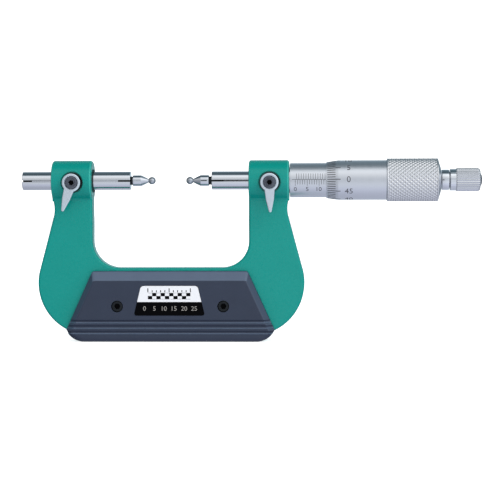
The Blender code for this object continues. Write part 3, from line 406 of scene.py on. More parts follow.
# Plain black for the rings at the anvil's bore mouths, and painted shade on the hub rings and the slit walls.
blackRingsAndShade = pressedMetal("black rings and painted shade", (16, 22, 24), (24, 30, 32), (0.5, 0.6), 2200, 0.0)
ballSteel = pressedMetal("polished ball", (176, 182, 188), (186, 192, 198), (0.08, 0.12), 3000)
brass = pressedMetal("turned brass", (188, 158, 92), (202, 172, 104), (0.26, 0.36), 2400)
springWire = pressedMetal("spring wire", (150, 152, 156), (166, 168, 172), (0.24, 0.32), 2400)
scaleInk = printedInk("scale ink", (60, 60, 66), (76, 76, 82), 0.55)
labelWhite = printedInk("label white", (246, 247, 252), (251, 252, 254), 0.4)
# Black print for the label, also painted shade inside the screw sockets.
blackPrintAndSocketShade = printedInk("label black and painted socket shade", (4, 4, 6), (9, 9, 11), 0.4, 0.03)
labelGrey = printedInk("label grey", (150, 146, 140), (166, 162, 156), 0.4, 0.2)
print("finishes mixed")

slotFinish = {
    "green_lacquer": lacquer, "slate_plastic": slate, "label_print": labelWhite,
    "blackened_steel": blackSteelAndShade, "ground_steel": spindleSteel, "satin_chrome": chrome,
    "hard_ball": ballSteel, "brass": brass, "spring_steel": springWire}
nodeSlots = {part["node"]: part["material_slot"] for part in frame["record"]["subparts"]}
for nodeName, cadNode in frame["nodes"].items():
    cadNode.data.materials.clear()
    cadNode.data.materials.append(slotFinish[nodeSlots[nodeName]])
print("inner pieces finished")


# Frame: the U with its barrels, bores and spotfaces

frameShape = {
    "throatHalf": 33.25 * mm, "throatCorner": 11.6 * mm, "spineTop": 31.2 * mm, "halfLength": 56.67 * mm,
    "thickness": 8.0 * mm, "edge": 1.0 * mm, "shoulder": 22.34 * mm, "shoulderLift": 2.39 * mm,
    "baseEnd": 35.15 * mm, "waistInset": 1.16 * mm, "waistDrop": 12.68 * mm, "waistCurve": 13.64 * mm,
    "armTopDrop": 6.6 * mm, "barrelRadius": 8.6 * mm, "barrelLength": 17.1 * mm, "barrelEdge": 1.0 * mm,
    "barrelFillet": 2.0 * mm, "skirtSink": 0.05 * mm, "rodBore": 4.2 * mm, "guideBore": 5.8 * mm,
    "guideDepth": 3.0 * mm, "boreMouth": 0.3 * mm, "spotface": 4.75 * mm, "spotfaceDepth": 6.95 * mm,
    "studHole": 2.8 * mm, "screwHole": 1.5 * mm, "screwHalf": 22.5 * mm, "screwHeight": 15.2 * mm}


def touchAngle(point, centre, radius, side):
    # Where a line from a point outside a circle touches the circle.
    offset = Vector(point) - Vector(centre)
    return math.atan2(offset.y, offset.x) + side * math.acos(radius / offset.length)


def frameOutline(s):
    barrelEnd = s["throatHalf"] + s["barrelLength"]
    middle = (s["halfLength"] - s["shoulder"], s["shoulder"] + s["shoulderLift"])
    waist = (barrelEnd - s["waistInset"], axisHeight - s["waistDrop"])
    baseAngle = touchAngle((s["baseEnd"], 0), middle, s["shoulder"], 1)
    flankAngle = touchAngle(waist, middle, s["shoulder"], -1)
    shoulder = arcPoints(middle, s["shoulder"], baseAngle, flankAngle, 48)
    outward = Vector((math.cos(flankAngle), math.sin(flankAngle)))
    upward = Vector((-outward.y, outward.x))
    lip = Vector((barrelEnd - s["barrelEdge"] / 8, axisHeight - s["barrelRadius"] + s["barrelEdge"]))
    offset = Vector(shoulder[-1]) + outward * s["waistCurve"] - lip
    rise = -offset.dot(upward) - math.sqrt(s["waistCurve"] ** 2 - offset.dot(outward) ** 2)
    hollow = Vector(shoulder[-1]) + upward * rise + outward * s["waistCurve"]
    lipAngle = math.atan2(lip.y - hollow.y, lip.x - hollow.x)
    waistArc = arcPoints(hollow, s["waistCurve"], math.pi + flankAngle, lipAngle, 16)
    inside = axisHeight - s["armTopDrop"]
    corner = (s["throatHalf"] - s["throatCorner"], s["spineTop"] + s["throatCorner"])
    throat = arcPoints(corner, s["throatCorner"], 0, -math.pi / 2, 24)
    right = [(s["baseEnd"], 0), *shoulder, *waistArc]
    right += [(barrelEnd - s["barrelLength"] / 3, inside), (s["throatHalf"], inside), *throat]
    return right + [(-x, z) for x, z in reversed(right)]


def barrelBlank(s, start, end):
    # A round section that runs down into the arm over two fillets.
    reach = s["thickness"] / 2 - s["skirtSink"] + s["barrelFillet"]
    drop = -math.sqrt((s["barrelRadius"] + s["barrelFillet"]) ** 2 - reach ** 2)
    contact = math.atan2(drop, reach)
    crown = arcPoints((0, 0), s["barrelRadius"], contact, math.pi - contact, 96)
    left = arcPoints((-reach, drop), s["barrelFillet"], -contact, 0, 10)
    right = [(-y, z) for y, z in reversed(left)]
    bm = extrude(crown[:-1] + left + right[:-1], start, end, s["barrelEdge"], 5)
    turnBy(bm, math.radians(-90), "Z")
    shift(bm, (0, depthMiddle, axisHeight))
    return bm


def flaredRod(start, end, radius, mouth, segments):
    # A cutter whose ends widen, so that the bore's mouths are chamfered.
    profile = [(start - mouth, 0), (start - mouth, radius + 2 * mouth), (start + mouth, radius),
               (end - mouth, radius), (end + mouth, radius + 2 * mouth), (end + mouth, 0)]
    return lathe(profile, segments, loop=False)


def crossRings(profile, segments, x=0.0, z=0.0):
    # Rings round a line along Y, from a profile of (y, radius) points.
    turns = [math.tau * step / segments for step in range(segments)]
    return [[Vector((x + r * math.cos(a), y, z + r * math.sin(a))) for a in turns] for y, r in profile]


def crossRod(front, back, radius, x, z, segments, mouth=0.0):
    # A cutter along Y that widens at its front end.
    rows = [(front - mouth, radius + 2 * mouth), (front + mouth, radius), (back, radius)]
    if mouth == 0:
        rows = [(front, radius), (back, radius)]
    return skinned(crossRings(rows, segments, x, z), capped=True)


def makeFrame(s):
    bm = extrude(frameOutline(s), -s["thickness"] / 2, s["thickness"] / 2, s["edge"], 6)
    barrelEnd = s["throatHalf"] + s["barrelLength"]
    bm = combined(bm, [
        barrelBlank(s, s["throatHalf"], barrelEnd), barrelBlank(s, -barrelEnd, -s["throatHalf"])], "UNION")
    mouth = s["boreMouth"]
    cutters = [
        flaredRod(-barrelEnd, -s["throatHalf"], s["rodBore"], mouth, 96),
        flaredRod(s["throatHalf"], barrelEnd + over, s["rodBore"], mouth, 96),
        lathe([(s["throatHalf"] + s["guideDepth"], 0), (s["throatHalf"] + s["guideDepth"], s["guideBore"]),
               (barrelEnd + over, s["guideBore"]), (barrelEnd + over, 0)], 96, loop=False)]
    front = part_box("anvil_lock_lever")[0].y
    for side in ("anvil", "spindle"):
        x, z = clampCentre(side)
        cutters.append(crossRod(front, -s["spotfaceDepth"], s["spotface"], x, z, 96))
        cutters.append(crossRod(-s["spotfaceDepth"] - over, -s["rodBore"] / 2, s["studHole"], x, z, 48))
    for x in (-s["screwHalf"], s["screwHalf"]):
        cutters.append(crossRod(-s["thickness"], s["thickness"], s["screwHole"], x, s["screwHeight"], 32))
    bm = combined(bm, cutters, "DIFFERENCE")
    bm.normal_update()
    for spot in bm.faces:
        # The rounded ends of the barrels get a lighter copy of the lacquer, a painted highlight.
        middle = spot.calc_center_median()
        out = fromAxis(middle)
        nearEnd = min(abs(abs(middle.x) - s["throatHalf"]), abs(abs(middle.x) - barrelEnd)) < s["barrelEdge"]
        rounded = 0.35 < abs(spot.normal.x) < 0.85 and 0 < s["barrelRadius"] - out < s["barrelEdge"]
        spot.material_index = 1 if nearEnd and rounded else 0
    makePiece("frameBody", bm, [lacquer, lacquerHighlight], "frame_body", ["frame"], 30)


def ringProfile(near, far, s):
    # The section of a flat ring with softened edges.
    corners = [(near, s["inside"]), (near, s["outside"]), (far, s["outside"]), (far, s["inside"])]
    return softened(corners, s["edge"], 2, loop=True)


boreRingShape = {"inside": 4.05 * mm, "outside": 4.9 * mm, "proud": 0.4 * mm, "sink": 0.05 * mm, "edge": 0.1 * mm}


def makeSeals(s):
    # Black rings round the anvil where it enters and leaves its barrel, dark lines at the bore mouths.
    shape = frameShape
    for name, face, side in (("anvilBoreRingOuter", -shape["throatHalf"] - shape["barrelLength"], -1),
                             ("anvilBoreRingInner", -shape["throatHalf"], 1)):
        ring = lathe(ringProfile(face - side * s["sink"], face + side * s["proud"], s), 96)
        makePiece(name, ring, blackRingsAndShade, "frame_body")


hubShadeRing = {"inside": 3.95 * mm, "outside": 4.3 * mm, "proud": 0.65 * mm, "sink": 0.05 * mm, "edge": 0.1 * mm}


def makeHubRings(s):
    # Painted shade: thin black rings on the spotfaces, round the hubs of the levers, where the hubs shade the
    # spotfaces.
    floor = -frameShape["spotfaceDepth"]
    profile = ringProfile(floor + s["sink"], floor - s["proud"], s)
    for side in ("anvil", "spindle"):
        ring = skinned(crossRings(profile, 80, *clampCentre(side)), loop=True)
        makePiece(f"{side}HubRing", ring, blackRingsAndShade, "frame_body")


makeFrame(frameShape)
makeSeals(boreRingShape)
makeHubRings(hubShadeRing)
print("frame made")


# Grip plates with their screws

gripShape = {
    "shift": -0.25 * mm, "topInset": 23.7 * mm, "cornerInset": 12.35 * mm, "cornerHeight": 5.0 * mm,
    "cornerRadius": 8.5 * mm, "topCorner": 1.0 * mm, "land": 1.7 * mm, "topBevel": 4.1 * mm,
    "sideBevel": 2.3 * mm, "bottomRadius": 2.4 * mm, "edgeRadius": 0.35 * mm, "faceMargin": 0.8 * mm,
    "ringSpacing": 0.45 * mm, "grooveRadius": 0.75 * mm, "grooveDepth": 0.62 * mm, "groovePitch": 2.3 * mm,
    "grooveCount": 3, "grooveLift": 4.15 * mm, "grooveRunOut": 1.5 * mm, "seatRadius": 2.5 * mm,
    "seatDepth": 2.5 * mm, "labelGap": 0.15 * mm}


def gripOutline(s, box, topInset, sideInset, bottomInset):
    top = box[1].z - topInset
    topHalf = frameShape["halfLength"] - s["topInset"]
    cornerHalf = frameShape["halfLength"] - s["cornerInset"]
    side = Vector((cornerHalf - topHalf, s["cornerHeight"] - box[1].z)).normalized()
    outward = Vector((-side.y, side.x))
    rise = s["cornerRadius"] - s["cornerHeight"]
    middle = Vector((cornerHalf - math.sqrt(s["cornerRadius"] ** 2 - rise ** 2), s["cornerRadius"]))
    distance = outward.dot(Vector((cornerHalf, s["cornerHeight"])) - middle) - sideInset
    radius = s["cornerRadius"] - bottomInset
    cornerAngle = math.atan2(outward.y, outward.x) - math.acos(min(1, distance / radius))
    corner = arcPoints(middle, radius, -math.pi / 2, cornerAngle, 24)
    sideTop = (corner[-1][0] + (top - corner[-1][1]) * side.x / side.y, top)
    shoulder = softened([corner[-1], sideTop, (0, top)], s["topCorner"], 6)[1:-1]
    right = corner + shoulder
    return right + [(-x, z) for x, z in reversed(right)]


def widthAt(outline, z):
    # The outline's half width at a height.
    found = [x0 + (x1 - x0) * (z - z0) / (z1 - z0)
             for (x0, z0), (x1, z1) in zip(outline, outline[1:]) if (z0 - z) * (z1 - z) <= 0 and z0 != z1]
    return max(found)


def grooveBar(s, box, z, thickness):
    # A round bar along the face that bends back along the sloping sides and runs out at their edge.
    edge = widthAt(gripOutline(s, box, 0, 0, 0), z)
    face = widthAt(gripOutline(s, box, 0, s["sideBevel"], 0), z)
    along = Vector((edge - face, thickness - s["land"]))
    slope = along.normalized()
    normal = Vector((slope.y, -slope.x))
    lift = s["grooveRadius"] - s["grooveDepth"]
    bend = -lift * (1 + normal.y) / slope.y
    corner = Vector((face, -thickness)) + normal * lift + slope * bend
    finish = corner + slope * (along.length + s["grooveRunOut"])
    middle = (normal + Vector((0, -1))).normalized()
    middle /= middle.dot(normal)
    right = [(corner, middle), (finish, normal)]
    left = [(Vector((-spot.x, spot.y)), Vector((-across.x, across.y))) for spot, across in reversed(right)]
    rings = []
    for spot, across in left + right:
        ring = []
        for step in range(48):
            turn = math.tau * step / 48
            out = spot + across * s["grooveRadius"] * math.cos(turn)
            ring.append(Vector((out.x, out.y, z + s["grooveRadius"] * math.sin(turn))))
        rings.append(ring)
    return skinned(rings, capped=True)


def makeGripPlate(s, name, node, side):
    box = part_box(node)
    aside = s["shift"] if side < 0 else 0
    thickness = box[1].y - box[0].y
    # From the frame outwards: how deep each ring lies, and how far it is drawn in from the outline.
    path = softened([
        (0, 0), (s["land"], 0), (thickness, s["sideBevel"]), (thickness, s["sideBevel"] + s["faceMargin"])],
        s["edgeRadius"], 4)
    fine = []
    for first, second in zip(path, path[1:]):
        way = Vector(second) - Vector(first)
        parts = max(1, round(way.length / s["ringSpacing"]))
        fine += [(first[0] + way.x * step / parts, first[1] + way.y * step / parts) for step in range(parts)]
    fine.append(path[-1])
    rings = []
    for depth, inset in fine:
        share = inset / s["sideBevel"]
        lift = max(0, depth - thickness + s["bottomRadius"]) / s["bottomRadius"]
        bottom = s["bottomRadius"] * (1 - math.sqrt(max(0, 1 - lift ** 2)))
        bottom += max(0, inset - s["sideBevel"])
        outline = gripOutline(s, box, share * s["topBevel"], inset, bottom)
        rings.append([Vector((x + aside, -depth, z)) for x, z in outline])
    bm = skinned(rings, capped=True)
    bmesh.ops.recalc_face_normals(bm, faces=bm.faces)
    face = -thickness
    cutters = [grooveBar(s, box, s["grooveLift"] + count * s["groovePitch"], thickness)
               for count in range(s["grooveCount"])]
    for bar in cutters:
        shift(bar, (aside, 0, 0))
    for x in (-frameShape["screwHalf"], frameShape["screwHalf"]):
        height = frameShape["screwHeight"]
        cutters.append(crossRod(face - over, face + s["seatDepth"], s["seatRadius"], x, height, 64))
        cutters.append(crossRod(face, over, frameShape["screwHole"], x, height, 40))
    if side < 0:
        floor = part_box("label_plate")[1].y + s["labelGap"] - box[1].y
        cutters.append(extrude(labelOutline(s["labelGap"]), face - over, floor))
    bm = combined(bm, cutters, "DIFFERENCE")
    bm.normal_update()
    for spot in bm.faces:
        # The top bevel and the grooves' lower flanks catch more light than the face and get a lighter slate, a
        # painted highlight; the side bevels get painted side light.
        middle = spot.calc_center_median()
        onTop = spot.normal.z > 0.35 and middle.z > box[1].z - s["topBevel"]
        onSide = abs(spot.normal.x) > 0.35 and middle.z > s["cornerHeight"] and abs(spot.normal.z) < 0.4
        inGroove = spot.normal.z > 0.35 and middle.z < s["grooveLift"] + s["grooveCount"] * s["groovePitch"]
        if middle.y < -s["land"] * 0.95:
            spot.material_index = 1 if onTop or inGroove else 2 if onSide else 0
    if side > 0:
        turnBy(bm, math.pi, "Z")
    shift(bm, (0, box[1].y if side < 0 else box[0].y, 0))
    makePiece(name, bm, [slate, slateTopHighlight, slateSideLight], "frame_body", [node], 28)


labelShape = {
    "shift": -0.35 * mm, "lift": 0.4 * mm, "topHalf": 12.0 * mm, "bottomHalf": 15.0 * mm, "corner": 1.4 * mm,
    "edge": 0.08 * mm, "split": 17.1 * mm, "film": 0.03 * mm, "cellGap": 0.005 * mm, "barLeft": -9.0 * mm,
    "barCells": 10, "barCell": 1.8 * mm, "barHeight": 2.6 * mm, "barBottom": 18.3 * mm, "lineHalf": 0.05 * mm,
    "tickGap": 0.3 * mm, "tickWidth": 0.36 * mm, "longTick": 1.7 * mm, "shortTick": 0.9 * mm,
    "figures": ("0", "5", "10", "15", "20", "25"), "figureSpacing": 4.2 * mm, "figureHeight": 1.9 * mm,
    "figureBottom": 13.4 * mm}


def labelOutline(margin):
    s = labelShape
    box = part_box("label_plate")
    lower = (s["bottomHalf"] + margin, box[0].z + s["lift"] - margin)
    upper = (s["topHalf"] + margin, box[1].z + s["lift"] + margin)
    points = [(-lower[0], lower[1]), lower, upper, (-upper[0], upper[1])]
    return [(x + s["shift"], z) for x, z in softened(points, s["corner"], 6, loop=True)]


makeGripPlate(gripShape, "frontGripPlate", "front_grip_plate", -1)
makeGripPlate(gripShape, "rearGripPlate", "rear_grip_plate", 1)
print("grip plates made")


def socketHexagon(width, grow=1.0):
    return arcPoints((0, 0), width / math.sqrt(3) * grow, 0, math.tau * 5 / 6, 5)


def headOfScrew(s, headRadius, length):
    # A cylinder head that faces -Y with its top at y = 0, a flared hexagon socket and its shank.
    height, shank, socket = s["headHeight"], s["shank"], s["socket"]
    profile = softened([
        (0, 0), (0, headRadius), (height, headRadius), (height, shank), (length, shank), (length, 0)],
        s["edge"], 4)
    hole = extrude(socketHexagon(socket), -over, s["socketDepth"])
    layers = ((-over, s["flare"]), (-hair, s["flare"]), (s["flareDepth"], 1.0))
    flare = skinned([[Vector((x, y, z)) for x, z in socketHexagon(socket, grow)] for y, grow in layers],
                    capped=True)
    bm = combined(skinned(crossRings(profile, 64)), [hole, flare], "DIFFERENCE")
    for spot in bm.faces:
        middle = spot.calc_center_median()
        # The inside of the socket is painted black as shade.
        inSocket = middle.y > 0.1 * mm and math.hypot(middle.x, middle.z) < socket * 0.65
        spot.material_index = 1 if inSocket else 0
    return bm


gripScrew = {
    "socket": 2.0 * mm, "socketDepth": 1.1 * mm, "flare": 1.25, "flareDepth": 0.2 * mm, "shank": 1.2 * mm,
    "edge": 0.3 * mm, "headHeight": 1.8 * mm}


def makeGripScrews(s):
    for side in ("front", "rear"):
        for hand in ("left", "right"):
            node = f"{side}_screw_{hand}"
            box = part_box(node)
            bm = headOfScrew(s, (box[1].x - box[0].x) / 2, box[1].y - box[0].y)
            if side == "rear":
                turnBy(bm, math.pi, "Z")
            place = (box[0] + box[1]) / 2
            place.y = box[0].y if side == "front" else box[1].y
            shift(bm, place)
            name = f"{side}GripScrew{hand.capitalize()}"
            makePiece(name, bm, [blackSteelAndShade, blackPrintAndSocketShade], "frame_body", [node])


makeGripScrews(gripScrew)
print("grip screws made")


# Figures: plain numbers as thin solids, flat on the label or wrapped round the sleeve and the thimble

def figureBlank(text, height):
    # The outline of a number as a flat mesh in XY, centred, with the given height.
    curve = bpy.data.curves.new("figures", "FONT")
    curve.body = text
    curve.resolution_u = 4
    curve.size = 1
    holder = addObject("figures", curve)
    mesh = evaluatedMesh(holder)
    bpy.data.objects.remove(holder)
    bm = bmesh.new()
    bm.from_mesh(mesh)
    bmesh.ops.remove_doubles(bm, verts=bm.verts, dist=1e-5)
    low = [min(v.co[axis] for v in bm.verts) for axis in (0, 1)]
    high = [max(v.co[axis] for v in bm.verts) for axis in (0, 1)]
    scale = height / (high[1] - low[1])
    centre = Vector((low[0] + high[0], low[1] + high[1], 0)) / 2
    for vertex in bm.verts:
        vertex.co = (vertex.co - centre) * scale
    return bm


def thickened(bm, inward):
    # Turns a sheet into a thin closed solid by a second skin behind it.
    for face in bm.faces:
        face.normal_update()
    grown = bmesh.ops.extrude_face_region(bm, geom=list(bm.faces))
    for item in grown["geom"]:
        if isinstance(item, bmesh.types.BMVert):
            item.co = inward(item.co)


def merged(target, source):
    mesh = bpy.data.meshes.new("part")
    source.to_mesh(mesh)
    source.free()
    target.from_mesh(mesh)
    bpy.data.meshes.remove(mesh)


def makeLabel(s):
    # A white field with a plain scale over a black field with its numbers.
    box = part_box("label_plate")
    front, film, left = box[0].y, s["film"], s["barLeft"] + s["shift"]
    bm = extrude(labelOutline(0), front, box[1].y, s["edge"], 2)
    everything = list(bm.verts) + list(bm.edges) + list(bm.faces)
    bmesh.ops.bisect_plane(bm, geom=everything, plane_co=(0, 0, s["split"]), plane_no=(0, 0, 1))
    for face in bm.faces:
        face.material_index = 0 if face.calc_center_median().z > s["split"] else 1
    makePiece("labelPlate", bm, [labelWhite, blackPrintAndSocketShade], "frame_body", ["label_plate"])

    def printed(x0, x1, z0, z1, proud=film):
        merged(bar, block((x0, front - proud, z0), (x1, front + film, z1)))
    bar = bmesh.new()
    halfHeight, gap = s["barHeight"] / 2, s["cellGap"]
    for cell in range(s["barCells"]):
        x = left + cell * s["barCell"]
        bottom = s["barBottom"] + (halfHeight if cell % 2 else 0)
        printed(x + gap, x + s["barCell"] - gap, bottom + gap, bottom + halfHeight - gap)
    for line in (0, 1, 2):
        z = s["barBottom"] + line * halfHeight
        right = left + s["barCells"] * s["barCell"]
        printed(left, right, z - s["lineHalf"], z + s["lineHalf"], 0.9 * film)
    for tick in range(s["barCells"] + 1):
        x = left + tick * s["barCell"]
        start = s["barBottom"] + s["barHeight"] + s["tickGap"]
        reach = s["longTick"] if tick % 5 == 0 else s["shortTick"]
        printed(x - s["tickWidth"] / 2, x + s["tickWidth"] / 2, start, start + reach)
    makePiece("labelScaleBar", bar, blackPrintAndSocketShade, "frame_body")

    figures = bmesh.new()
    middle = s["figureBottom"] + s["figureHeight"] / 2
    for index, number in enumerate(s["figures"]):
        flat = figureBlank(number, s["figureHeight"])
        x = (index - (len(s["figures"]) - 1) / 2) * s["figureSpacing"] + s["shift"]
        for vertex in flat.verts:
            vertex.co = (vertex.co.x + x, front - 2 * film, vertex.co.y + middle)
        thickened(flat, lambda co: co + Vector((0, 2 * film, 0)))
        merged(figures, flat)
    makePiece("labelFigures", figures, labelGrey, "frame_body")


makeLabel(labelShape)
print("label made")


# Anvil rod, spindle front and ball tips

rodShape = {
    "segments": 128, "edge": 0.3 * mm, "tipBore": 1.9 * mm, "boreDepth": 10.3 * mm, "slitWidth": 0.75 * mm,
    "tipSlit": 5.1 * mm, "tailSlit": 4.4 * mm, "tailWeb": 0.6 * mm}
spindleShape = {
    "faceTrim": 0.35 * mm, "behindShoulder": 46.3 * mm, "thread": 3.5 * mm, "threadStep": 0.3 * mm,
    "behindTaper": 8.0 * mm, "taperStep": 1.0 * mm, "taperStart": 3.3 * mm, "taperEnd": 2.6 * mm,
    "arborHole": 1.8 * mm, "holeDepth": 2.3 * mm}


def slitCutters(node, face, length, web=0.0):
    # A slit across the rod's end, from the front and from the back. A web may stay between the two.
    box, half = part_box(node), rodShape["slitWidth"] / 2
    low, high = sorted((face - math.copysign(over, length), face + length))
    front, back = box[0].y - over, box[1].y + over
    spans = [(front, -web), (web, back)] if web else [(front, back)]
    return [block((low, near, axisHeight - half), (high, far, axisHeight + half)) for near, far in spans]


def darkenSlits(bm, radius):
    # The slits' walls are painted black, as painted shade inside the narrow slits.
    half = rodShape["slitWidth"] / 2 + hair
    for spot in bm.faces:
        inside = abs(spot.calc_center_median().y - depthMiddle) < radius - 0.01 * mm
        level = all(abs(corner.co.z - axisHeight) < half for corner in spot.verts)
        spot.material_index = 1 if inside and level else 0


def makeAnvilRod(s):
    tail, face, radius = roundBox("anvil_rod")
    floor = face - s["boreDepth"]
    profile = [(tail, 0)] + softened([
        (tail, core), (tail, radius), (face, radius), (face, s["tipBore"]), (floor, s["tipBore"])],
        s["edge"], 4) + [(floor, 0)]
    slits = slitCutters("anvil_rod", face, -s["tipSlit"])
    slits += slitCutters("anvil_rod", tail, s["tailSlit"], s["tailWeb"])
    bm = combined(lathe(profile, s["segments"], loop=False), slits, "DIFFERENCE")
    darkenSlits(bm, radius)
    makePiece("anvilRod", bm, [anvilSteel, blackRingsAndShade], "anvil", ["anvil_rod"], 30)


def makeSpindle(s, k):
    # Measuring face, thread and taper, with a bore for the tip and a hole for the arbor.
    start, end, radius = roundBox("spindle")
    face, shoulder, taper = start + k["faceTrim"], end - k["behindShoulder"], end - k["behindTaper"]
    bore, hole = face + s["boreDepth"], end - k["holeDepth"]
    profile = [(bore, 0)] + softened([
        (bore, s["tipBore"]), (face, s["tipBore"]), (face, radius), (shoulder, radius),
        (shoulder + k["threadStep"], k["thread"]), (taper - k["taperStep"], k["thread"]),
        (taper, k["taperStart"]), (end, k["taperEnd"]), (end, k["arborHole"])], s["edge"], 4)
    profile += [(hole, k["arborHole"]), (hole, 0)]
    slits = slitCutters("spindle", face, s["tipSlit"])
    bm = combined(lathe(profile, s["segments"], loop=False), slits, "DIFFERENCE")
    darkenSlits(bm, radius)
    makePiece("spindleRod", bm, [spindleSteel, blackRingsAndShade], "spindle_head", ["spindle"], 30)


tipShape = {
    "stem": 1.75 * mm, "stemDepth": 10.0 * mm, "stemShow": 0.9 * mm, "collar": 2.35 * mm,
    "collarLength": 3.5 * mm, "collarEdge": 0.12 * mm, "collarStart": 1.0 * mm, "neck": 0.75 * mm,
    "bulge": 0.04 * mm, "ball": 1.6 * mm, "length": 10.6 * mm, "cup": 1.62 * mm, "edge": 0.25 * mm,
    "shadeInset": 0.3 * mm, "shadeGrow": 0.05 * mm}


def makeTip(s, side, face, way, body):
    # Way +1 points towards +X from the rod's face, -1 the other way.
    middle = s["length"] - s["ball"]
    cupAngle = math.asin(s["neck"] / s["cup"])
    collarEnd = s["stemShow"] + s["collarLength"]
    neckEnd = middle - s["cup"] * math.cos(cupAngle)
    profile = [(-s["stemDepth"], 0)] + softened([
        (-s["stemDepth"], core), (-s["stemDepth"], s["stem"]), (s["stemShow"], s["stem"]),
        (s["stemShow"], s["collar"]), (s["stemShow"] + s["collarStart"], s["collar"])], s["edge"], 4)
    profile.append((collarEnd - s["collarEdge"], s["collar"]))
    for step in range(25):
        share = step / 24
        radius = s["collar"] + (s["neck"] - s["collar"]) * share + s["bulge"] * math.sin(math.pi * share)
        profile.append((collarEnd + (neckEnd - collarEnd) * share, radius))
    for step in range(1, 5):
        angle = cupAngle * (1 - step / 4)
        profile.append((middle - s["cup"] * math.cos(angle), s["cup"] * math.sin(angle)))
    bm = lathe([(face + way * x, r) for x, r in profile], 96, loop=False)
    for spot in bm.faces:
        # The stem lies in the shade of the rod's bore.
        x = (spot.calc_center_median().x - face) * way
        inBore = fromAxis(spot.calc_center_median()) < s["collar"] - s["shadeInset"]
        spot.material_index = 1 if x < s["stemShow"] + s["shadeGrow"] and inBore else 0
    makePiece(f"{side}Tip", bm, [tipSteel, blackSteelAndShade], body, [f"{side}_tip_holder"])
    half = arcPoints((middle, 0), s["ball"], math.pi, 0, 40)
    outline = [(half[0][0], 0), *half[1:-1], (half[-1][0], 0)]
    ball = lathe([(face + way * x, r) for x, r in outline], 80, loop=False)
    makePiece(f"{side}Ball", ball, ballSteel, body, [f"{side}_ball"])


makeAnvilRod(rodShape)
makeSpindle(rodShape, spindleShape)
makeTip(tipShape, "anvil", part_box("anvil_rod")[1].x, 1, "anvil")
makeTip(tipShape, "spindle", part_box("spindle")[0].x, -1, "spindle_tip")
print("rods and tips made")


# Lock levers with their screws

leverShape = {
    "hubRadius": 3.9 * mm, "hubEdge": 0.4 * mm, "armThickness": 1.6 * mm, "reach": 12.7 * mm,
    "rootWidth": 5.0 * mm, "middleReach": 7.2 * mm, "middleWidth": 3.45 * mm, "tipWidth": 1.35 * mm,
    "armEdge": 0.35 * mm, "recess": 2.85 * mm, "recessMouth": 0.12 * mm, "socketDepth": 1.7 * mm,
    "web": 0.6 * mm, "hole": 1.35 * mm, "socket": 4.2 * mm}
leverScrew = {
    "socket": 1.75 * mm, "socketDepth": 0.7 * mm, "flare": 1.25, "flareDepth": 0.2 * mm, "shank": 1.05 * mm,
    "edge": 0.56 * mm, "headHeight": 1.25 * mm, "headGrow": 0.2 * mm}


def makeLever(s, k, side, tilt):
    x, z = clampCentre(side)
    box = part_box(f"{side}_lock_lever")
    front, back = box[0].y, box[1].y
    profile = softened([
        (front, core / 2), (front, s["hubRadius"]), (back, s["hubRadius"]), (back, core / 2)], s["hubEdge"], 6)
    hub = skinned(crossRings(profile, 96), capped=True)
    tip = s["tipWidth"] / 2
    right = [(s["rootWidth"] / 2, 0), (s["middleWidth"] / 2, -s["middleReach"])]
    roundTip = arcPoints((0, -s["reach"] + tip), tip, 0, -math.pi, 24)
    outline = right + roundTip + [(-x, z) for x, z in reversed(right)]
    arm = extrude(outline, front, front + s["armThickness"], s["armEdge"], 5)
    bm = combined(hub, [arm], "UNION")
    socketFloor = back - s["socketDepth"]
    bm = combined(bm, [
        extrude(socketHexagon(s["socket"]), socketFloor, back + over),
        crossRod(front, socketFloor - s["web"], s["recess"], 0, 0, 96, s["recessMouth"]),
        crossRod(front, back, s["hole"], 0, 0, 48)], "DIFFERENCE")
    bm.normal_update()
    for spot in bm.faces:
        # The hub's wall is painted dark as shade, darker than its face and the arm.
        middle = spot.calc_center_median()
        onRim = abs(math.hypot(middle.x, middle.z) - s["hubRadius"]) < 0.06 * mm
        onWall = onRim and abs(spot.normal.y) < 0.3 and middle.y > front + s["hubEdge"] * 0.9
        spot.material_index = 1 if onWall else 0
    turnBy(bm, tilt, "Y")
    shift(bm, (x, 0, z))
    makePiece(f"{side}LockLever", bm, [leverSteel, hubWallShade], f"{side}_lock", [f"{side}_lock_lever"],
              32)
    node = f"{side}_lever_screw"
    low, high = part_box(node)
    screw = headOfScrew(k, (high.x - low.x) / 2 + k["headGrow"], high.y - low.y)
    turnBy(screw, tilt, "Y")
    shift(screw, (x, low.y, z))
    makePiece(f"{side}LeverScrew", screw, [screwSteel, blackPrintAndSocketShade], f"{side}_lock", [node])


makeLever(leverShape, leverScrew, "anvil", math.radians(17.5))
makeLever(leverShape, leverScrew, "spindle", math.radians(-1.5))
print("levers made")


# Scale sleeve: graduations and figures in ink, proud of the chrome by a hair

sleeveShape = {
    "edge": 0.2 * mm, "bore": 5.8 * mm, "zero": 53.0 * mm, "travel": 25, "turn": 3.3, "lineWidth": 0.16 * mm,
    "proud": 0.015 * mm, "indexStart": 51.6 * mm, "indexEnd": 81.0 * mm, "millimetreReach": 2.1 * mm,
    "fiveReach": 2.7 * mm, "halfReach": 2.6 * mm, "figureHeight": 1.9 * mm, "figureDrop": 4.0 * mm,
    "figureBend": 0.3 * mm, "spannerHole": 0.75 * mm}


def inkStrip(bm, radiusAt, places, a0, a1, proud, parts=1):
    # A thin curved patch of ink along the given x places and from angle a0 to a1, as a closed solid.
    turns = [a0 + (a1 - a0) * part / parts for part in range(parts + 1)]
    rings = []
    for x in places:
        corners = [(radiusAt(x) + proud, turn) for turn in turns]
        corners += [(radiusAt(x) - 2 * proud, turn) for turn in reversed(turns)]
        rings.append([onAxis(x, radius, turn) for radius, turn in corners])
    skinRings(bm, rings, capped=True)


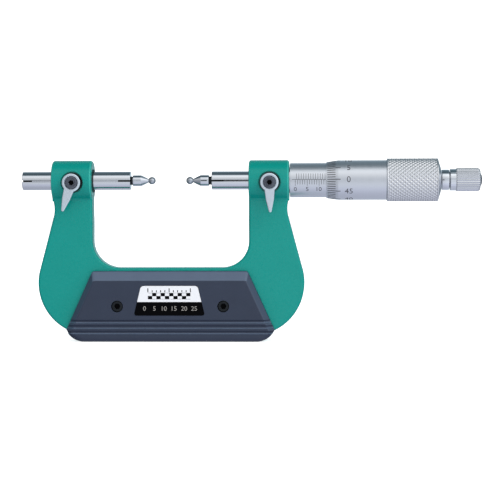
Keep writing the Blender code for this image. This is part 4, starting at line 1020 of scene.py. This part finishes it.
def wrapFigures(bm, text, height, radius, x, angle, proud):
    # A number wrapped round the cylinder, upright when seen from the front.
    flat = figureBlank(text, height)
    cuts = math.ceil(height / sleeveShape["figureBend"])
    for count in range(cuts):
        level = height * (count / cuts - 0.5) + 0.01 * mm
        geometry = list(flat.verts) + list(flat.edges) + list(flat.faces)
        bmesh.ops.bisect_plane(flat, geom=geometry, plane_co=(0, level, 0), plane_no=(0, 1, 0))
    for vertex in flat.verts:
        vertex.co = onAxis(x + vertex.co.x, radius + proud, angle + vertex.co.y / radius)

    def sink(co):
        centre = onAxis(co.x, 0, 0)
        return centre + (co - centre) * (1 - 3 * proud / radius)
    thickened(flat, sink)
    merged(bm, flat)


def makeSleeve(s):
    start, end, radius = roundBox("scale_sleeve")
    profile = [(start, s["bore"]), (start, radius), (end, radius), (end, s["bore"])]
    bm = lathe(softened(profile, s["edge"], 3, loop=True), 160)
    hole = crossRod(-radius - over, 0, s["spannerHole"], 0, 0, 32)
    turnBy(hole, math.pi, "Z")
    shift(hole, (s["zero"], depthMiddle, axisHeight))
    bm = combined(bm, [hole], "DIFFERENCE")
    makePiece("scaleSleeve", bm, chrome, "frame_body", ["scale_sleeve"], 30)

    def tick(x, below, above):
        places = [x - half, x + half]
        inkStrip(ink, lambda x: radius, places, turn - below / radius, turn + above / radius, s["proud"], 8)
    ink = bmesh.new()
    half = s["lineWidth"] / 2
    turn = math.radians(s["turn"])
    line = [s["indexStart"], s["indexEnd"]]
    inkStrip(ink, lambda x: radius, line, turn - half / radius, turn + half / radius, s["proud"])
    for count in range(s["travel"] + 1):
        x = s["zero"] + count * mm
        tick(x, s["fiveReach"] if count % 5 == 0 else s["millimetreReach"], 0)
        if count < s["travel"]:
            tick(x + 0.5 * mm, 0, s["halfReach"])
        if count % 5 == 0:
            angle = turn - math.asin(s["figureDrop"] / radius)
            wrapFigures(ink, str(count), s["figureHeight"], radius, x, angle, s["proud"])
    makePiece("sleeveScale", ink, scaleInk, "frame_body")


makeSleeve(sleeveShape)
print("scale sleeve made")


# Thimble: the graduated bevel, the plain barrel, the diamond knurl and the end cone

thimbleShape = {
    "bore": 7.45 * mm, "edgeWall": 0.2 * mm, "bevel": 5.0 * mm, "radius": 8.4 * mm, "barrelEdge": 0.25 * mm,
    "knurlLength": 21.4 * mm, "knurlDrop": 0.15 * mm, "knurlGap": 0.05 * mm, "around": 34, "perTooth": 8,
    "knurlDepth": 0.36 * mm, "helix": 41, "crown": 1.6, "rowSpacing": 0.62, "fadeRows": 4,
    "plainEnd": 0.3 * mm, "cone": 1.3 * mm, "endRadius": 4.9 * mm, "endEdge": 0.3 * mm, "hub": 12.4 * mm,
    "arborHole": 1.8 * mm, "holeDepth": 4.1 * mm, "taperEnd": 2.75 * mm, "taperStart": 3.45 * mm,
    "boreRamp": 1.2 * mm, "divisions": 50, "lineWidth": 0.34 * mm, "proud": 0.015 * mm, "lineStart": 0.5 * mm,
    "minorEnd": 3.9 * mm, "majorEnd": 6.0 * mm, "figureCentre": 9.45 * mm, "figureHeight": 2.5 * mm}


def knurlHeight(x, turn, s, pitch):
    # Two crossing sets of grooves leave a diamond between them. 1 is the crown and 0 the root.
    lean = math.tan(math.radians(s["helix"])) / pitch
    first = (turn * s["around"] / math.tau + x * lean) % 1
    second = (turn * s["around"] / math.tau - x * lean) % 1
    return min(1, s["crown"] * min(1 - abs(2 * first - 1), 1 - abs(2 * second - 1)))


def makeThimble(s):
    edge, end, crest = roundBox("thimble")
    bore, rim = s["bore"], s["bore"] + s["edgeWall"]
    knurlEnd = end - s["cone"]
    knurlStart = knurlEnd - s["knurlLength"]
    outside = softened([
        (edge, rim), (edge + s["bevel"], s["radius"]),
        (knurlStart - 0.3 * (crest - s["radius"]), s["radius"]),
        (knurlStart - s["knurlGap"], crest - s["knurlDrop"])], s["barrelEdge"], 4)
    segments = s["around"] * s["perTooth"]
    rings = latheRings(outside, segments)
    pitch = math.tau * crest / s["around"]
    spacing = pitch / s["perTooth"] / math.tan(math.radians(s["helix"]))
    knurlSpan = s["knurlLength"] - s["plainEnd"]
    rows = round(knurlSpan / (spacing * s["rowSpacing"]))
    for index in range(rows + 1):
        along = knurlSpan * index / rows
        depth = s["knurlDepth"] * min(1, index / s["fadeRows"], (rows - index) / s["fadeRows"])
        rings += waved([(knurlStart + along, crest, depth)], segments, lambda depth, step: (
            0, depth * (knurlHeight(along, math.tau * step / segments, s, pitch) - 1)))
    hubStart, hole, holeEnd = end - s["hub"], s["arborHole"], end - s["holeDepth"]
    inside = softened([(knurlEnd, crest), (end, s["endRadius"]), (end, hole)], s["endEdge"], 4)
    inside += [(holeEnd, hole), (holeEnd, s["taperEnd"]), (hubStart, s["taperStart"]),
               (hubStart, bore - s["boreRamp"]), (hubStart - s["boreRamp"], bore), (edge, bore)]
    bm = skinned(rings + latheRings(inside, segments), loop=True)
    # The knurl's faces take the lighter chrome copy, painted light.
    for spot in bm.faces:
        middle = spot.calc_center_median()
        knurled = fromAxis(middle) > s["radius"] and knurlStart < middle.x < knurlEnd
        spot.material_index = 1 if knurled else 0
    makePiece("thimbleBody", bm, [chrome, knurlLitChrome], "spindle_head", ["thimble"], 42)

    def radiusAt(x):
        return rim + (s["radius"] - rim) * max(0, min(1, (x - edge) / s["bevel"]))
    ink = bmesh.new()
    half = s["lineWidth"] / 2 / s["radius"]
    for count in range(s["divisions"]):
        angle = math.tau * count / s["divisions"] + math.radians(sleeveShape["turn"])
        ends = [s["bevel"], s["majorEnd"]] if count % 5 == 0 else [s["minorEnd"]]
        places = [edge + place for place in (s["lineStart"], *ends)]
        inkStrip(ink, radiusAt, places, angle - half, angle + half, s["proud"])
        if count % 5 == 0:
            centre = edge + s["figureCentre"]
            wrapFigures(ink, str(count), s["figureHeight"], s["radius"], centre, angle, s["proud"])
    makePiece("thimbleScale", ink, scaleInk, "spindle_head")


makeThimble(thimbleShape)
print("thimble made")


# Ratchet stop: neck, fluted knob and end screw

knobShape = {
    "startGrow": 0.55 * mm, "endTrim": 1.15 * mm, "collar": 4.6 * mm, "collarLength": 2.55 * mm,
    "collarEdge": 0.25 * mm, "edgeStep": 0.08 * mm, "knob": 4.9 * mm, "flutes": 32, "perFlute": 8,
    "fluteDepth": 0.26 * mm, "fluteCurve": 1.5, "collarFlute": 0.03 * mm, "support": 0.15 * mm,
    "endRound": 1.3 * mm, "endDrop": 1.0 * mm, "recess": 2.9 * mm, "recessEdge": 0.15 * mm,
    "recessDepth": 2.0 * mm, "hole": 2.0 * mm, "bore": 3.4 * mm, "floor": 4.4 * mm}
arborShape = {
    "shank": 1.5 * mm, "shankLength": 10.0 * mm, "neck": 4.35 * mm, "neckLength": 3.15 * mm,
    "journal": 3.1 * mm, "journalStart": 1.0 * mm, "journalLength": 3.15 * mm, "edge": 0.25 * mm, "teeth": 24,
    "toothHeight": 0.5 * mm, "perTooth": 8, "toothInside": 2.0 * mm, "groove": 0.2 * mm, "pin": 1.7 * mm,
    "pinEnd": 2.0 * mm, "screwHole": 0.95 * mm, "holeDepth": 3.0 * mm}
endScrew = {
    "shank": 0.8 * mm, "head": 2.6 * mm, "height": 1.5 * mm, "proud": 0.1 * mm, "edge": 0.2 * mm,
    "dome": 0.75 * mm, "socket": 1.1 * mm, "socketDepth": 1.2 * mm}


def makeKnob(s):
    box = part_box("ratchet_knob")
    start, end = box[0].x - s["startGrow"], box[1].x - s["endTrim"]
    collar, knob, hole, recess = s["collar"], s["knob"], s["hole"], s["recess"]
    flute, shallow, near, edge = s["fluteDepth"], s["collarFlute"], s["support"], s["collarEdge"]
    collarEnd, seat, floor = start + s["collarLength"], end - s["recessDepth"], end - s["floor"]
    knobStart = collarEnd + knob - collar
    rows = [
        (start, s["bore"], 0), (start, collar - edge, 0), (start + s["edgeStep"], collar - s["edgeStep"], 0),
        (start + edge, collar, shallow / 2), (start + edge + near, collar, shallow),
        (collarEnd - near, collar, shallow), (collarEnd, collar, shallow),
        (knobStart, knob, flute), (knobStart + near, knob, flute)]
    for turn in range(0, 91, 15):
        sine, cosine = math.sin(math.radians(turn)), math.cos(math.radians(turn))
        rows.append((end - s["endRound"] * (1 - sine), knob - s["endDrop"] * (1 - cosine), flute * cosine))
    rows += [(end, recess + s["recessEdge"], 0), (end - s["recessEdge"], recess, 0), (seat, recess, 0),
             (seat, hole, 0), (floor, hole, 0), (floor, s["bore"], 0)]

    def fluted(depth, index):
        return 0, -depth * ((1 - math.cos(math.tau * index / s["perFlute"])) / 2) ** s["fluteCurve"]
    bm = skinned(waved(rows, s["flutes"] * s["perFlute"], fluted), loop=True)
    for spot in bm.faces:
        spot.material_index = 1 if spot.calc_center_median().x < collarEnd else 0
    makePiece("ratchetKnob", bm, [flutedChrome, anvilSteel], "ratchet", ["ratchet_knob"], 50)


def makeArbor(s):
    # Shank, neck, journal, the fixed saw teeth of the ratchet and the knob's pin.
    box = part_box("ratchet_arbor")
    start, end, pin, tooth = box[0].x, box[1].x, s["pin"], s["toothHeight"]
    neckStart = start + s["shankLength"]
    neckEnd = neckStart + s["neckLength"]
    toothRoot = neckEnd + s["journalLength"]
    groove = toothRoot - s["groove"]
    body = [(start, core / 2)] + softened([
        (start, core), (start, s["shank"]), (neckStart, s["shank"]), (neckStart, s["neck"]),
        (neckEnd, s["neck"]), (neckEnd, s["journal"]), (neckEnd + s["journalStart"], s["journal"])],
        s["edge"], 4)
    tail = softened([
        (end - s["pinEnd"], pin), (end, pin), (end, s["screwHole"]), (end - s["holeDepth"], s["screwHole"])],
        s["edge"], 4)
    rows = [(x, radius, 0) for x, radius in body]
    rows += [(toothRoot, s["journal"], tooth), (toothRoot, s["toothInside"], tooth),
             (groove, s["toothInside"], 0), (groove, pin, 0)]
    rows += [(x, radius, 0) for x, radius in tail]

    def sawTooth(depth, index):
        return depth * (1 - index % s["perTooth"] / (s["perTooth"] - 1)), 0
    bm = skinned(waved(rows, s["teeth"] * s["perTooth"], sawTooth), capped=True)
    makePiece("ratchetArbor", bm, anvilSteel, "spindle_head", ["ratchet_arbor"])


def makeEndScrew(s):
    # A domed screw that stands a little proud of the knob's end.
    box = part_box("ratchet_end_screw")
    start, seat, head = box[0].x, box[1].x - s["height"], s["head"]
    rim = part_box("ratchet_knob")[1].x - knobShape["endTrim"] + s["proud"]
    profile = [(start, 0)] + softened([
        (start, core), (start, s["shank"]), (seat, s["shank"]), (seat, head), (rim, head)], s["edge"], 4)
    for step in range(1, 9):
        share = math.pi / 2 * step / 8
        profile.append((rim + s["dome"] * math.sin(share), head * math.cos(share)))
    top = rim + s["dome"]
    profile[-1] = (top, 0)
    floor, above, socket = top - s["socketDepth"], top + over, s["socket"]
    cutter = lathe([(floor, 0), (floor, socket), (above, socket), (above, 0)], 6, loop=False)
    bm = combined(lathe(profile, 96, loop=False), [cutter], "DIFFERENCE")
    makePiece("ratchetEndScrew", bm, screwSteel, "spindle_head", ["ratchet_end_screw"], 30)


makeKnob(knobShape)
makeArbor(arborShape)
makeEndScrew(endScrew)
print("ratchet stop made")


# Studio: a flat pale floor, a plain backdrop, a soft sky and three lamps

studio = {
    "aim": (33.53 * mm, 0, 38.6 * mm), "roll": -0.22, "azimuth": 2.5, "elevation": 3.0, "distance": 0.76,
    "frameWidth": 212.8 * mm, "floorReach": 1.6, "floorDrop": 0.01 * mm, "backdrop": 1.5,
    "lampAim": (0.03, 0, 0.04)}


def makeFloor(s):
    bm = bmesh.new()
    rim = arcPoints((0, 0), s["floorReach"], 0, math.tau * 71 / 72, 71)
    bm.faces.new([bm.verts.new((x, y, -s["floorDrop"])) for x, y in rim])
    bm.normal_update()
    mesh = bpy.data.meshes.new("studioFloor")
    bm.to_mesh(mesh)
    bm.free()
    finish, tree, shader = newFinish("pale floor", 0.0, 0.85)
    shader.inputs["Base Color"].default_value = (0.86, 0.87, 0.88, 1)
    shader.inputs["Emission Color"].default_value = (1, 1, 1, 1)
    shader.inputs["Emission Strength"].default_value = 0.75
    mesh.materials.append(finish)
    floor = addObject("studioFloor", mesh)
    floor.visible_glossy = False
    floor.visible_diffuse = False


def makeCamera(s):
    azimuth = math.radians(s["azimuth"])
    elevation = math.radians(s["elevation"])
    back = Vector((math.sin(azimuth) * math.cos(elevation), -math.cos(azimuth) * math.cos(elevation),
                   math.sin(elevation)))
    data = bpy.data.cameras.new("photoCamera")
    data.sensor_width = 36
    data.lens = s["distance"] * data.sensor_width / s["frameWidth"]
    data.clip_start = 0.05
    data.clip_end = 20
    camera = addObject("photoCamera", data)
    camera.location = Vector(s["aim"]) + back * s["distance"]
    level = (-back).to_track_quat("-Z", "Y").to_matrix()
    camera.rotation_euler = (level @ Matrix.Rotation(math.radians(s["roll"]), 3, "Z")).to_euler()
    bpy.context.scene.camera = camera


def skyRamp(tree, factor, stops):
    # Brightness by the direction's angle round the X axis, from -180 to 180 degrees. 0 is the front.
    ramp = addNode(tree, "ShaderNodeValToRGB", {0: factor})
    elements = ramp.color_ramp.elements
    for index, (angle, level, tint) in enumerate(stops):
        place = (angle + 180) / 360
        element = elements[index] if index < 2 else elements.new(place)
        element.position = place
        element.color = (*(level * share for share in skyTints[tint]), 1)
    return ramp.outputs[0]


skyTints = {
    "warm": (0.985, 0.99, 1.01), "plain": (0.95, 0.985, 1.01), "cool": (0.89, 0.935, 1.01),
    "lilac": (0.81, 0.85, 1.01), "dusk": (0.74, 0.9, 1.01), "teal": (0.6, 0.86, 1.01)}
# Brightness of the sky by angle in degrees: 0 is the front, 90 straight up, 180 behind and -90 straight down
skyShape = {
    "straight": [
        (-180, 0.8, "dusk"), (180, 0.8, "dusk"), (-127, 0.66, "lilac"), (-84, 0.72, "lilac"),
        (-53, 0.92, "lilac"), (-26, 0.96, "cool"), (-8, 0.86, "cool"), (9, 0.74, "cool"), (25, 0.84, "plain"),
        (40, 1.06, "warm"), (56, 1.27, "plain"), (66, 1.14, "plain"), (74, 0.44, "dusk"), (80, 0.17, "teal"),
        (92, 0.14, "teal"), (130, 0.26, "teal"), (156, 0.7, "dusk")],
    "around": [
        (-180, 0.25, "dusk"), (180, 0.25, "teal"), (-120, 0.38, "lilac"), (-60, 0.62, "lilac"),
        (-5, 0.72, "cool"), (10, 0.8, "cool"), (58, 1.15, "warm"), (72, 0.85, "plain"), (84, 0.35, "dusk"),
        (130, 0.22, "teal")],
    "aside": (0.18, 0.35), "sides": (-0.8, 0.6), "sideLevels": (0.6, 1.3),
    "lensMiddle": 0.5, "lensBand": (8.0, 12.5), "lensDark": 0.07, "lensLeft": (-0.1, -0.092),
    "lensRight": (-0.035, -0.015)}


def makeSky(s):
    # Bright above the front, darker behind. A dark band at lens height shapes the polished metal.
    world = bpy.data.worlds.new("studioSky")
    world.use_nodes = True
    bpy.context.scene.world = world
    tree = world.node_tree
    direction = tree.nodes.new("ShaderNodeTexCoord").outputs["Generated"]
    across, depth, height = addNode(tree, "ShaderNodeSeparateXYZ", {0: direction}).outputs

    def calc(operation, *values):
        return addNode(tree, "ShaderNodeMath", dict(enumerate(values)), operation=operation).outputs[0]

    def eased(value, source, target):
        return mapped(tree, value, source, target, "SMOOTHSTEP")
    angle = calc("ARCTAN2", height, calc("MULTIPLY", depth, -1))
    share = calc("ADD", calc("DIVIDE", angle, math.tau), 0.5)
    mix = addNode(tree, "ShaderNodeMix", {
        0: eased(calc("ABSOLUTE", across), s["aside"], (0, 1)),
        6: skyRamp(tree, share, s["straight"]), 7: skyRamp(tree, share, s["around"])}, data_type="RGBA")

    low, high = (math.radians(value) for value in s["lensBand"])
    level = calc("ABSOLUTE", calc("SUBTRACT", angle, math.radians(s["lensMiddle"])))
    band = eased(level, (low, high), (s["lensDark"], 1))
    inBand = calc("MULTIPLY", eased(across, s["lensLeft"], (0, 1)), eased(across, s["lensRight"], (1, 0)))
    darkened = calc("ADD", calc("MULTIPLY", inBand, calc("SUBTRACT", band, 1)), 1)
    sides = eased(across, s["sides"], s["sideLevels"])
    sky = tree.nodes["Background"]
    tree.links.new(mix.outputs[2], sky.inputs["Color"])
    tree.links.new(calc("MULTIPLY", sides, darkened), sky.inputs["Strength"])

    # The backdrop itself is plain and pale. The sky above only lights the metal.
    backdrop = addNode(tree, "ShaderNodeBackground", {"Color": (1, 1, 1, 1), "Strength": studio["backdrop"]})
    seen = tree.nodes.new("ShaderNodeLightPath").outputs["Is Camera Ray"]
    choice = addNode(tree, "ShaderNodeMixShader", {0: seen, 1: sky.outputs[0], 2: backdrop.outputs[0]})
    tree.links.new(choice.outputs[0], tree.nodes["World Output"].inputs["Surface"])


def makeLamp(name, place, size, power, colour):
    data = bpy.data.lights.new(name, "AREA")
    data.shape = "SQUARE"
    data.size = size
    data.energy = power
    data.color = colour
    lamp = addObject(name, data)
    lamp.location = place
    lamp.rotation_euler = (Vector(studio["lampAim"]) - Vector(place)).to_track_quat("-Z", "Y").to_euler()
    lamp.visible_glossy = False
    lamp.visible_camera = False


makeFloor(studio)
makeCamera(studio)
makeSky(skyShape)
makeLamp("keyLamp", (0.55, -0.5, 0.75), 0.35, 1.6, (1.0, 0.95, 0.75))
makeLamp("frontFill", (0.1, -1.2, 0.06), 0.6, 3.4, (1.0, 1.0, 1.0))
makeLamp("backFill", (-0.2, 0.8, 0.6), 0.7, 3.0, (1.0, 1.0, 1.0))
bpy.context.scene.view_settings.view_transform = "Standard"
bpy.context.scene.view_settings.look = "None"
print("studio set")
